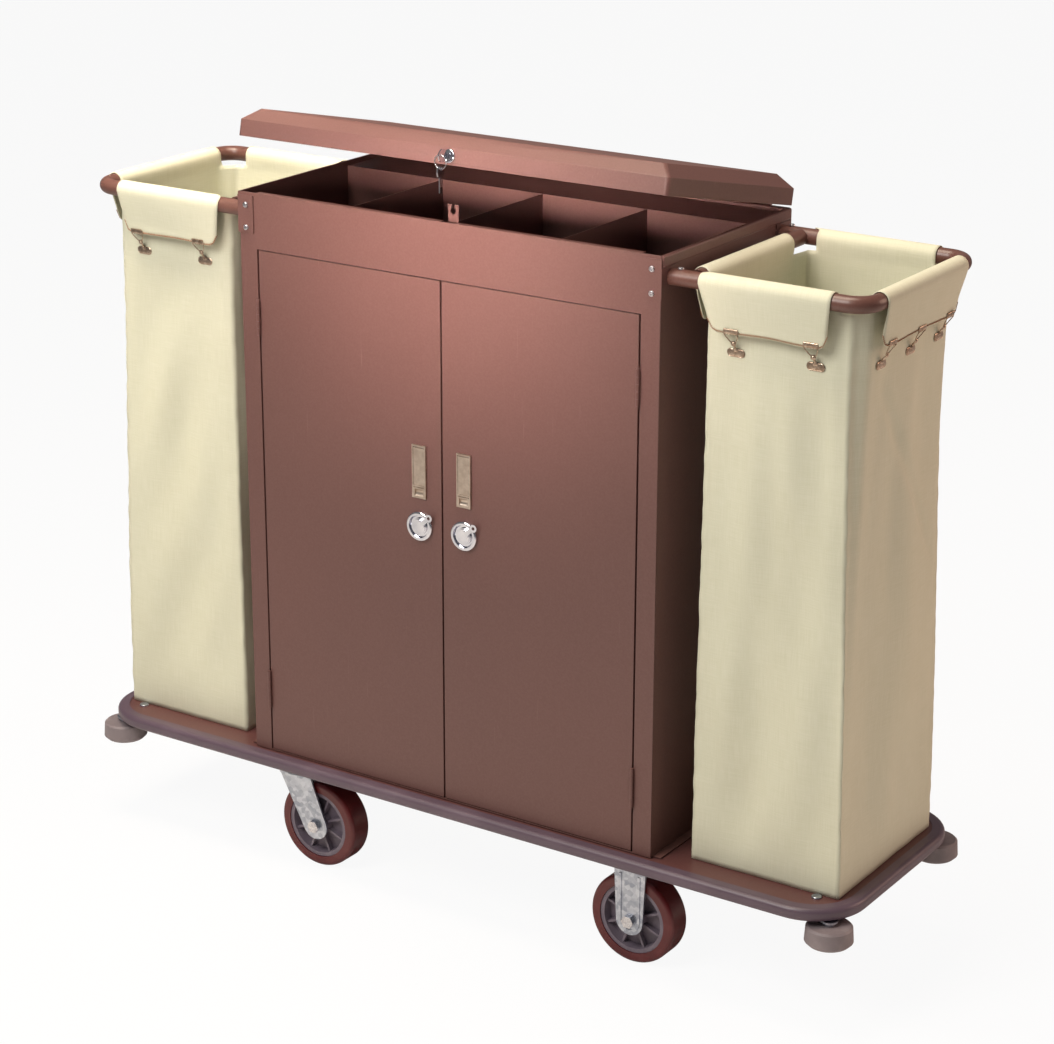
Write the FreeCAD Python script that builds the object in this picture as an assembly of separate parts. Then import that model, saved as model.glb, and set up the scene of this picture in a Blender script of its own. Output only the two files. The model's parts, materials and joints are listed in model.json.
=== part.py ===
import FreeCAD, Part
import math
import os
from FreeCAD import Vector

# Housekeeping cart, in millimetres. X runs along the cart to its right, Y from front to back, Z up.
# The origin is on the floor, below the middle of the deck.

# Deck
deck_length = 1440.0
deck_width = 432.0
deck_radius = 92.0
deck_top = 200.0
deck_sheet = 2.0
rim_width = 20.0
rim_low = 179.5
rim_high = 201.0
rim_round = 8.5
frame_low = 180.0
frame_wall = 2.5
rail_inner = 100.0
rail_outer = 188.0
rail_reach = 640.0
cross_places = [-610.0, -322.0, 0.0, 339.0, 610.0]
cross_width = 60.0

# Casters
wheel_radius = 75.0
wheel_width = 46.0
hub_radius = 58.0
wheel_line = 144.0
rigid_x = 339.0
swivel_x = -322.0
swivel_trail = 44.0
axle_sleeve = 8.0
axle_shank = 6.0
leg_inner = 26.5
leg_outer = 30.0
plate_size = (105.0, 84.0)
plate_low = 176.0
bolt_spacing = (80.0, 60.0)
kingpin_radius = 6.0
run_gap = 0.05

# Corner rollers
roller_place = (688.0, 178.0)
roller_screw = (657.0, 162.0)
roller_radius = 37.0
roller_low = 141.0
roller_high = 171.0
roller_pin = 6.0

# Cabinet
cabinet_half = 385.0
cabinet_depth = 190.0
cabinet_low = 201.5
cabinet_top = 1145.0
sheet = 1.5
stile = 32.5
door_opening = (203.2, 1055.5)
tray_floor_z = 1057.3
tray_back_y = 88.0
tray_top = 1137.0
divider_places = [-192.0, 0.0, 192.0]
shelf_levels = [420.0, 638.0]
shelf_front = 170.0
shelf_lip = 10.0

# Doors and their furniture
door_edge = 349.5
door_gap = 1.5
door_low = 204.7
door_high = 1054.0
door_depth = 18.0
hinge_x = 351.0
hinge_y = -193.3
hinge_radius = 3.0
hinge_levels = [(279.0, 343.0), (918.0, 974.0)]
fitting_x = 42.0
pull_low = 703.0
pull_high = 789.0
pull_half = 13.0
pull_pin_z = 783.5
pull_pin_y = -192.3
lock_z = 657.0
lock_radius = 24.0
lever_angle = 40.0

# Lid
lid_half = 389.0
lid_front = -194.0
lid_back = 192.5
lid_low = 1147.0
skirt = 26.0
chamfer_in = 22.0
chamfer_up = 19.0
lid_sheet = 1.2
lid_axis_y = 195.6
lid_axis_z = 1146.0
lid_angle = 12.5
lid_lock_x = 12.0
lid_lock_z = 1160.0
strike_y = -171.0

# Bag hoops and bags
tube_radius = 12.5
tube_wall = 1.5
hoop_z = 1111.0
hoop_y = 165.0
hoop_outer = 700.0
hoop_inner = 424.0
hoop_bend = 32.0
bracket_foot = 387.0
cloth = 3.0
cloth_gap = 0.3
flap_low = 1042.0
bag_low = 200.6
bag_shoulder = 1092.0
bag_seam = 6.0
cuff_draw = 11.0
slit = 34.0
bend_slit = 18.0
clip_levels = (1004.0, 1018.0, 1036.0, 1050.0)


def box(x, y, z):
    return Part.makeBox(x[1] - x[0], y[1] - y[0], z[1] - z[0], Vector(x[0], y[0], z[0]))


def rod(radius, start, end):
    start = Vector(*start)
    along = Vector(*end) - start
    return Part.makeCylinder(radius, along.Length, start, along)


def pipe(outer, inner, start, end):
    return rod(outer, start, end).cut(rod(inner, start, end))


def fuse(shapes):
    return shapes[0].multiFuse(shapes[1:]).removeSplitter()


def prism(points, along):
    """A flat polygon pushed along a vector."""
    wire = Part.makePolygon([Vector(*p) for p in points] + [Vector(*points[0])])
    return Part.Face(wire).extrude(Vector(*along))


def turned(profile, centre):
    """A (radius, height) outline turned about a vertical line through centre."""
    points = [Vector(centre[0] + r, centre[1], z) for r, z in profile]
    face = Part.Face(Part.makePolygon(points + [points[0]]))
    return face.revolve(Vector(centre[0], centre[1], 0), Vector(0, 0, 1), 360)


def hexagon(across, start, end):
    """A hexagonal bar along Y, across flats, with its flats upright."""
    corner = across / math.sqrt(3)
    x, y, z = start
    points = []
    for step in range(6):
        angle = math.radians(30 + 60 * step)
        points.append((x + corner * math.sin(angle), y, z + corner * math.cos(angle)))
    return prism(points, (0, end - y, 0))


def outline(x, y, radius, z):
    """A closed rounded rectangle at height z."""
    near = radius * (1 - math.sqrt(0.5))
    corners = [(x[1], y[0], -1, 1), (x[1], y[1], -1, -1), (x[0], y[1], 1, -1), (x[0], y[0], 1, 1)]
    arcs = []
    for cx, cy, sx, sy in corners:
        side = Vector(cx, cy + sy * radius, z)
        end = Vector(cx + sx * radius, cy, z)
        middle = Vector(cx + sx * near, cy + sy * near, z)
        first, last = (end, side) if sx * sy < 0 else (side, end)
        arcs.append(Part.Arc(first, middle, last).toShape())
    edges = []
    for number, arc in enumerate(arcs):
        after = arcs[(number + 1) % 4]
        edges.append(arc)
        edges.append(Part.makeLine(arc.valueAt(arc.LastParameter), after.valueAt(after.FirstParameter)))
    return Part.Wire(edges)


def slab(x, y, radius, z):
    return Part.Face(outline(x, y, radius, z[0])).extrude(Vector(0, 0, z[1] - z[0]))


def flip_x(shape):
    return shape.mirror(Vector(0, 0, 0), Vector(1, 0, 0))


def flip_y(shape):
    return shape.mirror(Vector(0, 0, 0), Vector(0, 1, 0))


def four_corners(shape):
    """A shape at the front right corner and its mirror images at the other three."""
    return [shape, flip_x(shape), flip_y(shape), flip_x(flip_y(shape))]


def level_edges(shape):
    return [edge for edge in shape.Edges if edge.BoundBox.ZLength < 0.001]


def lid_pose(shape):
    """Turn a shape drawn on the closed lid to the lid's resting angle."""
    turned_shape = shape.copy()
    turned_shape.rotate(Vector(0, lid_axis_y, lid_axis_z), Vector(-1, 0, 0), lid_angle)
    return turned_shape


# Deck

def deck_slab(inset, low, high):
    x = deck_length / 2 - inset
    y = deck_width / 2 - inset
    return slab((-x, x), (-y, y), deck_radius - inset, (low, high))


def deck_rim():
    solid = deck_slab(0, rim_low, rim_high)
    solid = solid.makeFillet(rim_round, level_edges(solid))
    return solid.cut(deck_slab(rim_width, rim_low, rim_high))


def deck_plate():
    plate = deck_slab(rim_width + 0.2, deck_top - deck_sheet, deck_top)
    hole = rod(4.2, (*roller_screw, deck_top - 10), (*roller_screw, deck_top + 10))
    return plate.cut(four_corners(hole))


def channel(x, y):
    """A shallow pressed channel, open towards the deck sheet."""
    high = deck_top - deck_sheet
    wall = frame_wall
    inner = box((x[0] + wall, x[1] - wall), (y[0] + wall, y[1] - wall), (frame_low + wall, high))
    return box(x, y, (frame_low, high)).cut(inner)


def caster_bolt_places():
    places = []
    for x in (swivel_x, rigid_x):
        for y in (-wheel_line, wheel_line):
            for dx in (-bolt_spacing[0] / 2, bolt_spacing[0] / 2):
                for dy in (-bolt_spacing[1] / 2, bolt_spacing[1] / 2):
                    places.append((x + dx, y + dy))
    return places


def drill(shape, radius, places, low, high):
    holes = [rod(radius, (*place, low), (*place, high)) for place in places]
    return shape.cut(holes)


def deck_frame():
    rail = channel((-rail_reach, rail_reach), (rail_inner, rail_outer))
    places = caster_bolt_places()
    rails = [drill(part, 4.3, places, frame_low - 1, frame_low + 5) for part in (rail, flip_y(rail))]
    reach = rail_inner - 0.2
    half = cross_width / 2
    crosses = [channel((x - half, x + half), (-reach, reach)) for x in cross_places]
    return Part.makeCompound(rails + crosses)


# Corner rollers

def corner_roller():
    profile = [(roller_pin + run_gap, roller_low), (roller_radius - 5, roller_low),
               (roller_radius, roller_low + 5), (roller_radius - 1.5, roller_high - 3),
               (roller_radius - 4.5, roller_high), (roller_pin + run_gap, roller_high)]
    return turned(profile, roller_place)


def roller_bracket():
    """A short arm below the deck, its spacer up to the deck sheet and the roller's pin."""
    low, high = rim_low - 3.3, rim_low - 0.3
    start, end = Vector(*roller_screw, low), Vector(*roller_place, low)
    along = (end - start).normalize()
    side = along.cross(Vector(0, 0, 1)) * 13
    points = [tuple(start + side), tuple(end + side), tuple(end - side), tuple(start - side)]
    arm = prism(points, (0, 0, high - low))
    ends = [rod(13, (*place, low), (*place, high)) for place in (roller_screw, roller_place)]
    spacer = rod(9, (*roller_screw, low), (*roller_screw, deck_top - deck_sheet - 0.1))
    pin = rod(roller_pin, (*roller_place, roller_low - 3), (*roller_place, high))
    head = rod(11, (*roller_place, roller_low - 4), (*roller_place, roller_low - 0.4))
    collar = rod(9, (*roller_place, roller_high + 0.4), (*roller_place, high))
    whole = fuse([arm, spacer, pin, head, collar] + ends)
    return drill(whole, 4.2, [roller_screw], low - 1, deck_top)


def deck_bolt(place, radius, head_low, nut_low):
    """A bolt with its hexagon head below and its nut above."""
    shank = rod(radius, (*place, head_low + 1), (*place, nut_low + 6))
    parts = [shank]
    for low in (head_low, nut_low):
        points = []
        for step in range(6):
            angle = math.radians(60 * step)
            points.append((place[0] + 7.5 * math.cos(angle), place[1] + 7.5 * math.sin(angle), low))
        parts.append(prism(points, (0, 0, 4)))
    return fuse(parts)


def roller_screw_solid():
    """A countersunk-headed screw through the deck into the roller's arm, with its nut."""
    x, y = roller_screw
    shank = rod(4, (x, y, rim_low - 8.2), (x, y, deck_top + 1))
    head = rod(8, (x, y, deck_top + 0.05), (x, y, deck_top + 3))
    head = head.makeFillet(1.4, [max(head.Edges, key=lambda edge: edge.BoundBox.ZMin)])
    nut = rod(7, (x, y, rim_low - 8), (x, y, rim_low - 3.4))
    return fuse([shank, head, nut])


def deck_bolts():
    casters = [deck_bolt(place, 4, plate_low - 4.1, frame_low + frame_wall + 0.1)
               for place in caster_bolt_places()]
    return Part.makeCompound(casters + four_corners(roller_screw_solid()))


# Casters

def wheel_tread(x, y):
    low, high = (x, y - wheel_width / 2, wheel_radius), (x, y + wheel_width / 2, wheel_radius)
    disc = rod(wheel_radius, low, high)
    disc = disc.makeFillet(7, [edge for edge in disc.Edges if edge.BoundBox.YLength < 0.001])
    return disc.cut(rod(hub_radius, low, high))


def wheel_hub(x, y):
    half = [(axle_sleeve + run_gap, 24), (18, 24), (20, 8), (49, 6), (51, 21), (hub_radius - 0.2, 21)]
    profile = half + [(r, -w) for r, w in reversed(half)]
    points = [Vector(x + r, y + w, wheel_radius) for r, w in profile]
    face = Part.Face(Part.makePolygon(points + [points[0]]))
    hub = face.revolve(Vector(x, y, wheel_radius), Vector(0, 1, 0), 360)
    ribs = []
    for step in range(8):
        rib = box((x + 16, x + 51), (y - 17, y + 17), (wheel_radius - 1.8, wheel_radius + 1.8))
        rib.rotate(Vector(x, y, wheel_radius), Vector(0, 1, 0), 45 * step + 22.5)
        ribs.append(rib)
    return fuse([hub] + ribs)


def axle_bolt(x, y):
    z = wheel_radius
    sleeve = rod(axle_sleeve, (x, y - leg_inner + 0.1, z), (x, y + leg_inner - 0.1, z))
    shank = rod(axle_shank, (x, y - leg_outer - 3, z), (x, y + leg_outer + 9, z))
    head = hexagon(19, (x, y - leg_outer - 7.1, z), y - leg_outer - 0.1)
    washer = rod(12, (x, y + leg_outer + 0.1, z), (x, y + leg_outer + 1.6, z))
    nut = hexagon(19, (x, y + leg_outer + 1.5, z), y + leg_outer + 8.5)
    return fuse([sleeve, shank, head, washer, nut])


def fork_leg(x, y, side, outline_points, foot_x):
    """One pressed leg: its outline in the XZ plane, with a round foot at the axle."""
    inner, outer = sorted((y + side * leg_inner, y + side * leg_outer))
    points = [(x + px, inner, pz) for px, pz in outline_points]
    leg = prism(points, (0, outer - inner, 0))
    foot = rod(24, (x + foot_x, inner, wheel_radius), (x + foot_x, outer, wheel_radius))
    return fuse([leg, foot])


def raised_u(x, y_face, side, top):
    """A pressed ridge round the axle hole, open towards the top."""
    near, far = sorted((y_face - side * 0.5, y_face + side * 1.4))
    ring = pipe(19, 14.5, (x, near, wheel_radius), (x, far, wheel_radius))
    ring = ring.cut(box((x - 30, x + 30), (near - 1, far + 1), (wheel_radius, wheel_radius + 40)))
    bars = [box((x + a, x + a + 4.5), (near, far), (wheel_radius - 0.2, top)) for a in (-19, 14.5)]
    return fuse([ring] + bars)


def rigid_fork(y):
    half_x, half_y = plate_size[0] / 2, plate_size[1] / 2
    x = rigid_x
    plate = slab((x - half_x, x + half_x), (y - half_y, y + half_y), 8, (plate_low, frame_low - 0.1))
    legs = []
    for side in (-1, 1):
        shape = [(-29, plate_low), (29, plate_low), (24, wheel_radius), (-24, wheel_radius)]
        legs.append(fork_leg(x, y, side, shape, 0))
        legs.append(raised_u(x, y + side * leg_outer, side, plate_low - 22))
    fork = fuse([plate] + legs)
    fork = drill(fork, 4.3, caster_bolt_places(), plate_low - 1, frame_low + 1)
    return fork.cut(rod(axle_shank + 0.1, (x, y - 40, wheel_radius), (x, y + 40, wheel_radius)))


def swivel_top_plate(y):
    half_x, half_y = plate_size[0] / 2, plate_size[1] / 2
    x = swivel_x
    plate = slab((x - half_x, x + half_x), (y - half_y, y + half_y), 8, (plate_low, frame_low - 0.1))
    race = turned([(20, plate_low + 1), (33, plate_low + 1), (30, 169), (22, 169)], (x, y))
    return drill(fuse([plate, race]), 4.3, caster_bolt_places(), plate_low - 1, frame_low + 1)


def kingpin(y):
    shank = rod(kingpin_radius, (swivel_x, y, 150), (swivel_x, y, plate_low - 0.1))
    head = rod(10, (swivel_x, y, 149), (swivel_x, y, 155.6))
    return fuse([shank, head])


def swivel_fork(y):
    x = swivel_x
    crown = box((x - 28, x + 36), (y - leg_outer, y + leg_outer), (156, 160))
    race = turned([(16, 159), (34, 159), (31, 168.4), (16, 168.4)], (x, y))
    legs = []
    for side in (-1, 1):
        shape = [(-28, 160), (36, 160), (swivel_trail + 23.5, 80), (swivel_trail - 21, 63)]
        legs.append(fork_leg(x, y, side, shape, swivel_trail))
    fork = fuse([crown, race] + legs)
    fork = fork.cut(rod(kingpin_radius + run_gap, (x, y, 140), (x, y, 180)))
    axle_x = x + swivel_trail
    hole = rod(axle_shank + 0.1, (axle_x, y - 40, wheel_radius), (axle_x, y + 40, wheel_radius))
    return fork.cut(hole)


# Cabinet

def cabinet_side():
    """The right side: a sheet with a rolled lip along its top and a foot on the deck."""
    out = cabinet_half
    y = (-cabinet_depth + sheet + 0.2, cabinet_depth - sheet - 0.2)
    wall = box((out - sheet, out), y, (cabinet_low, cabinet_top))
    lip = box((out - 0.5, out + 4), y, (cabinet_top - 18, cabinet_top))
    along = [edge for edge in lip.Edges if edge.BoundBox.YLength > 100 and edge.BoundBox.XMin > out + 1]
    lip = lip.makeFillet(3.2, along)
    foot = box((out - 0.5, out + 14), (y[0] + 6, y[1] - 6), (cabinet_low, cabinet_low + sheet))
    return fuse([wall, lip, foot])


def cabinet_back():
    y = (cabinet_depth - sheet, cabinet_depth)
    wall = box((-cabinet_half, cabinet_half), y, (cabinet_low, cabinet_top))
    lip = box((-cabinet_half + 2, cabinet_half - 2), (y[0] - 10, y[1]), (cabinet_top - sheet, cabinet_top))
    return fuse([wall, lip])


def cabinet_front():
    """The front frame: two stiles, the fascia above the doors and a thin sill."""
    front = -cabinet_depth
    inner = cabinet_half - stile
    face = box((-cabinet_half, cabinet_half), (front, front + sheet), (cabinet_low, cabinet_top))
    face = face.cut(box((-inner, inner), (front - 1, front + 5), door_opening))
    depth = (front + 0.5, front + 19)
    returns = []
    for side in (-1, 1):
        edge = sorted((side * inner, side * (inner + sheet)))
        returns.append(box(edge, depth, (door_opening[0], door_opening[1] + sheet)))
    head = box((-inner - 1, inner + 1), (front + 0.5, front + 18), (door_opening[1], door_opening[1] + sheet))
    hem = box((-inner, inner), (front + 0.5, front + 11), (cabinet_top - sheet, cabinet_top))
    notch = box((lid_lock_x - 13, lid_lock_x + 13), (front + 3, front + 20), (cabinet_top - 5, cabinet_top + 1))
    return fuse([face, head, hem] + returns).cut(notch)


def cabinet_floor():
    x = cabinet_half - sheet - 0.2
    y = cabinet_depth - sheet - 0.2
    return box((-x, x), (-y, y), (cabinet_low, cabinet_low + sheet))


def shelf(level):
    """A shelf tray: its front lip stands up, its side and back flanges hang down."""
    x = cabinet_half - sheet - 0.3
    back = cabinet_depth - sheet - 0.3
    top = box((-x, x), (-shelf_front, back), (level - sheet, level))
    lip = box((-x, x), (-shelf_front, -shelf_front + sheet), (level - sheet, level + shelf_lip))
    rear = box((-x, x), (back - sheet, back), (level - 20, level))
    sides = [box(sorted((side * x, side * (x - sheet))), (-140, back), (level - 20, level)) for side in (-1, 1)]
    return fuse([top, lip, rear] + sides)


def tray_floor():
    x = cabinet_half - sheet - 0.3
    return box((-x, x), (-cabinet_depth + sheet + 0.3, tray_back_y + 1.5), (tray_floor_z, tray_floor_z + sheet))


def tray_back():
    """The wall behind the compartments, folded back into a ledge below the lid."""
    x = cabinet_half - sheet - 0.3
    low = tray_floor_z + sheet + 0.1
    wall = box((-x, x), (tray_back_y, tray_back_y + sheet), (low, tray_top))
    ledge = box((-x, x), (tray_back_y, cabinet_depth - sheet - 0.3), (tray_top - sheet, tray_top))
    return fuse([wall, ledge])


def tray_divider(x):
    low = tray_floor_z + sheet + 0.1
    y = (-cabinet_depth + sheet + 1.0, tray_back_y - 0.3)
    wall = box((x - sheet / 2, x + sheet / 2), y, (low, tray_top))
    foot = box((x - sheet / 2, x + 12), (y[0] + 12, y[1]), (low, low + sheet))
    notch = box((x - 3, x + 3), (y[0] - 1, y[0] + 12), (cabinet_top - 22, cabinet_top))
    return fuse([wall, foot]).cut(notch)


def lid_strike():
    """The keeper that the lid's lock drops into: a foot on the front wall and a slotted tab."""
    half = 9.5
    front = -cabinet_depth + sheet + 0.2
    x = (lid_lock_x - half, lid_lock_x + half)
    wall = box(x, (front, front + sheet), (cabinet_top - 30, cabinet_top - 12))
    shelf_part = box(x, (front, strike_y), (cabinet_top - 13.5, cabinet_top - 12))
    tab = box(x, (strike_y - sheet, strike_y), (cabinet_top - 13.5, lid_lock_z + 9))
    strike = fuse([wall, shelf_part, tab])
    eye = rod(5.2, (lid_lock_x, strike_y - 5, lid_lock_z), (lid_lock_x, strike_y + 5, lid_lock_z))
    way = box((lid_lock_x - 2.5, lid_lock_x + 2.5), (strike_y - 5, strike_y + 5), (lid_lock_z, lid_lock_z + 20))
    return strike.cut([eye, way])


# Hoops and their brackets

def hoop_bracket():
    """Front right: a plate round the cabinet's corner, with a spigot inside the hoop's tube."""
    face = -cabinet_depth - 0.2
    out = cabinet_half + 0.2
    low, high = cabinet_top - 65, cabinet_top - 5
    front = box((cabinet_half - 28, bracket_foot), (face - 1.8, face), (low, high))
    side = box((out, bracket_foot), (face - 1.8, -hoop_y + 18), (low, cabinet_top - 18.5))
    spigot = rod(tube_radius - tube_wall - 0.2, (bracket_foot - 1, -hoop_y, hoop_z),
                 (bracket_foot + 30, -hoop_y, hoop_z))
    screws = bracket_screw_places()
    holes = [rod(2.6, (x, -cabinet_depth - 9, z), (x, -cabinet_depth + 9, z)) for x, z in screws]
    return fuse([front, side, spigot]).cut(holes)


def bracket_screw_places():
    return [(cabinet_half - 14, cabinet_top - 20), (cabinet_half - 14, cabinet_top - 56)]


def pan_screw(base, outward, reach):
    """A pan-headed screw whose head sits on base and faces outward."""
    base, outward = Vector(*base), Vector(*outward)
    head = Part.makeCylinder(4.6, 3, base, outward)
    rim = max(head.Edges, key=lambda edge: edge.CenterOfMass.dot(outward))
    head = head.makeFillet(1.6, [rim])
    shank = Part.makeCylinder(2.5, reach + 1, base - outward * reach, outward)
    return fuse([head, shank])


def bracket_screws():
    """Two screws in each corner plate, and one on top of each tube over its spigot."""
    face = -cabinet_depth - 2.05
    screws = [pan_screw((x, face, z), (0, -1, 0), 1.9) for x, z in bracket_screw_places()]
    screws.append(pan_screw((bracket_foot + 16, -hoop_y, hoop_z + tube_radius + 0.05), (0, 0, 1), 1.4))
    return Part.makeCompound([copy for screw in screws for copy in four_corners(screw)])


def sweep(radius, path):
    start = path.Edges[0].valueAt(path.Edges[0].FirstParameter)
    ring = Part.Wire([Part.makeCircle(radius, start, Vector(1, 0, 0))])
    return path.makePipeShell([ring], True, False)


def hoop():
    """The right hoop: a bent tube with both ends at the cabinet, and its cross tube."""
    start, end, bend, y, z = bracket_foot + 0.2, hoop_outer, hoop_bend, hoop_y, hoop_z
    near = bend * (1 - math.sqrt(0.5))
    front_arc = Part.Arc(Vector(end - bend, -y, z), Vector(end - near, -y + near, z), Vector(end, -y + bend, z))
    back_arc = Part.Arc(Vector(end, y - bend, z), Vector(end - near, y - near, z), Vector(end - bend, y, z))
    path = Part.Wire([
        Part.makeLine(Vector(start, -y, z), Vector(end - bend, -y, z)),
        front_arc.toShape(),
        Part.makeLine(Vector(end, -y + bend, z), Vector(end, y - bend, z)),
        back_arc.toShape(),
        Part.makeLine(Vector(end - bend, y, z), Vector(start, y, z)),
    ])
    tube = sweep(tube_radius, path).cut(sweep(tube_radius - tube_wall, path))
    screw_x = bracket_foot + 16
    holes = [rod(2.6, (screw_x, side * y, z), (screw_x, side * y, z + 30)) for side in (-1, 1)]
    reach = y - tube_radius - 0.3
    cross = pipe(tube_radius, tube_radius - tube_wall, (hoop_inner, -reach, z), (hoop_inner, reach, z))
    return Part.makeCompound([tube.cut(holes), cross])


# Bags

def fold_over(centre, inward, run, level):
    """A cuff over a tube that runs along Y at x = centre, between the ends in run.

    inward is the direction of the bag's inside (+1 or -1) and level the height of the hem, which
    the clips draw in towards the bag.
    """
    near, far = tube_radius + cloth_gap, tube_radius + cloth_gap + cloth
    over = pipe(far, near, (centre, run[0], hoop_z), (centre, run[1], hoop_z))
    over = over.cut(box((centre - 30, centre + 30), (run[0] - 1, run[1] + 1), (hoop_z - 30, hoop_z)))
    face = centre - inward * near
    back = centre - inward * far
    hem = inward * cuff_draw
    hang = prism([(face, run[0], hoop_z + 0.05), (back, run[0], hoop_z + 0.05), (back + hem, run[0], level),
                  (face + hem, run[0], level)], (0, run[1] - run[0], 0))
    inner = sorted((centre + inward * near, centre + inward * far))
    inside = box(inner, run, (hoop_z - 20, hoop_z + 0.05))
    return [over, hang, inside]


def quarter_turn(shape):
    """Turn a cuff that runs along Y about Z, so that it runs along X."""
    turned_shape = shape.copy()
    turned_shape.rotate(Vector(0, 0, 0), Vector(0, 0, 1), 90)
    return turned_shape


def bag():
    """The right bag: a tall open box of cloth, with a cuff folded over each tube."""
    off = tube_radius + cloth_gap
    x = (hoop_inner + off, hoop_outer - off)
    y = (-hoop_y + off, hoop_y - off)
    corner = hoop_bend - off
    inner_x, inner_y = (x[0] + cloth, x[1] - cloth), (y[0] + cloth, y[1] - cloth)
    ledge = bag_shoulder - cloth
    body = slab(x, y, bag_seam, (bag_low, bag_shoulder)).fuse(slab(x, y, corner, (bag_low, hoop_z)))
    hollow = slab(inner_x, inner_y, bag_seam - cloth, (bag_low + cloth, ledge))
    hollow = hollow.fuse(slab(inner_x, inner_y, corner - cloth, (ledge - 1, hoop_z + 1)))
    outer_run = (y[0] + bend_slit, y[1] - bend_slit)
    inner_run = (y[0] + 6, y[1] - slit)
    long_run = (x[0] + 8, x[1] - bend_slit)
    cuffs = fold_over(hoop_outer, -1, outer_run, flap_low) + fold_over(hoop_inner, 1, inner_run, flap_low)
    turned_run = (-long_run[1], -long_run[0])
    for line, inward in ((-hoop_y, 1), (hoop_y, -1)):
        cuffs += [quarter_turn(piece) for piece in fold_over(line, inward, turned_run, flap_low)]
    return fuse([body.cut(hollow)] + cuffs)


def clip():
    """A suspender clip drawn on a cuff whose hem is at x = 0 and faces +X; the bag is at x < 0."""
    clasp_low, clasp_high, jaw_low, jaw_high = clip_levels
    reach = 2 * tube_radius + 2 * cloth_gap + cloth - cuff_draw
    jaw = box((1.7, 4.2), (-12, 12), (jaw_low, jaw_high))
    link = prism([(1.9, -4, jaw_low + 3), (4.0, -4, jaw_low + 3), (-reach + 4, -4, clasp_high - 3),
                  (-reach + 1.6, -4, clasp_high - 3)], (0, 8, 0))
    clasp = box((-reach + 0.3, -reach + 4.2), (-14, 14), (clasp_low, clasp_high))
    return fuse([jaw, link, clasp])


def bag_clips():
    """The clips of the right bag: three on the outer cuff, two on each other cuff."""
    far = tube_radius + cloth_gap + cloth - cuff_draw
    clips = []
    for y in (-92, 0, 92):
        place = clip()
        place.translate(Vector(hoop_outer + far, y, 0))
        clips.append(place)
    for y in (-80, 80):
        place = clip()
        place.rotate(Vector(0, 0, 0), Vector(0, 0, 1), 180)
        place.translate(Vector(hoop_inner - far, y, 0))
        clips.append(place)
    for angle, line in ((-90, -hoop_y - far), (90, hoop_y + far)):
        for x in (490, 618):
            place = clip()
            place.rotate(Vector(0, 0, 0), Vector(0, 0, 1), angle)
            place.translate(Vector(x, line, 0))
            clips.append(place)
    return clips


# Doors

def door():
    """The right door: a pressed pan with turned-in edges, notched for the lock and its hinges."""
    x = (door_gap, door_edge)
    y = (-cabinet_depth, -cabinet_depth + door_depth)
    z = (door_low, door_high)
    pan = box(x, y, z)
    hollow = box((x[0] + sheet, x[1] - sheet), (y[0] + sheet, y[1] - sheet), (z[0] + sheet, z[1] - sheet))
    window = box((x[0] + 14, x[1] - 14), (y[1] - 5, y[1] + 5), (z[0] + 14, z[1] - 14))
    barrel = rod(11.2, (fitting_x, y[0] - 5, lock_z), (fitting_x, y[0] + 5, lock_z))
    return pan.cut([hollow, window, barrel])


def knuckle_spans(low, high, count):
    step = (high - low) / count
    return [(low + n * step + 0.25, low + (n + 1) * step - 0.25) for n in range(count)]


def hinge_leaf(moving):
    """The leaves of the right door's two hinges, on the door's edge or on the stile."""
    leaves = []
    for low, high in hinge_levels:
        if moving:
            x = (door_edge + 0.05, door_edge + 1.25)
        else:
            x = (cabinet_half - stile - 1.3, cabinet_half - stile - 0.1)
        spans = knuckle_spans(low, high, 5)[1 if moving else 0::2]
        plate = box(x, (-cabinet_depth + 0.1, -cabinet_depth + 15), (low, high))
        parts = [plate]
        for span in spans:
            parts.append(rod(hinge_radius, (hinge_x, hinge_y, span[0]), (hinge_x, hinge_y, span[1])))
            parts.append(box(x, (hinge_y, -cabinet_depth + 1), span))
        leaf = fuse(parts)
        bore = rod(1.5, (hinge_x, hinge_y, low - 1), (hinge_x, hinge_y, high + 1))
        leaves.append(leaf.cut(bore))
    return leaves


def hinge_pins():
    pins = []
    for low, high in hinge_levels:
        shank = rod(1.45, (hinge_x, hinge_y, low - 0.5), (hinge_x, hinge_y, high + 0.5))
        heads = [rod(2.6, (hinge_x, hinge_y, z), (hinge_x, hinge_y, z + 1)) for z in (low - 1.2, high + 0.2)]
        pins.append(fuse([shank] + heads))
    return pins


def pull_plate(x):
    """The flush pull's base: a thin plate inside a raised border, with a finger groove below."""
    face = -cabinet_depth - 0.05
    base = box((x - pull_half, x + pull_half), (face - 1, face), (pull_low, pull_high))
    border = box((x - pull_half, x + pull_half), (face - 3.4, face - 0.5), (pull_low, pull_high))
    window = box((x - pull_half + 2.4, x + pull_half - 2.4), (face - 5, face - 0.2), (pull_low + 17, pull_high - 2.4))
    groove = rod(7.5, (x - 8, face - 8.2, pull_low + 9), (x + 8, face - 8.2, pull_low + 9))
    return fuse([base, border.cut(window)]).cut(groove)


def pull_leaf(x):
    """The hinged leaf in the pull's window, hanging from its pin."""
    half = pull_half - 2.7
    back = -cabinet_depth - 1.35
    leaf = box((x - half, x + half), (back - 1.6, back), (pull_low + 18.5, pull_pin_z))
    hook = box((x - half, x + half), (back - 2.6, back - 0.5), (pull_low + 18.5, pull_low + 21))
    pin = rod(1.15, (x - half, pull_pin_y, pull_pin_z), (x + half, pull_pin_y, pull_pin_z))
    return fuse([leaf, hook, pin])


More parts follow.
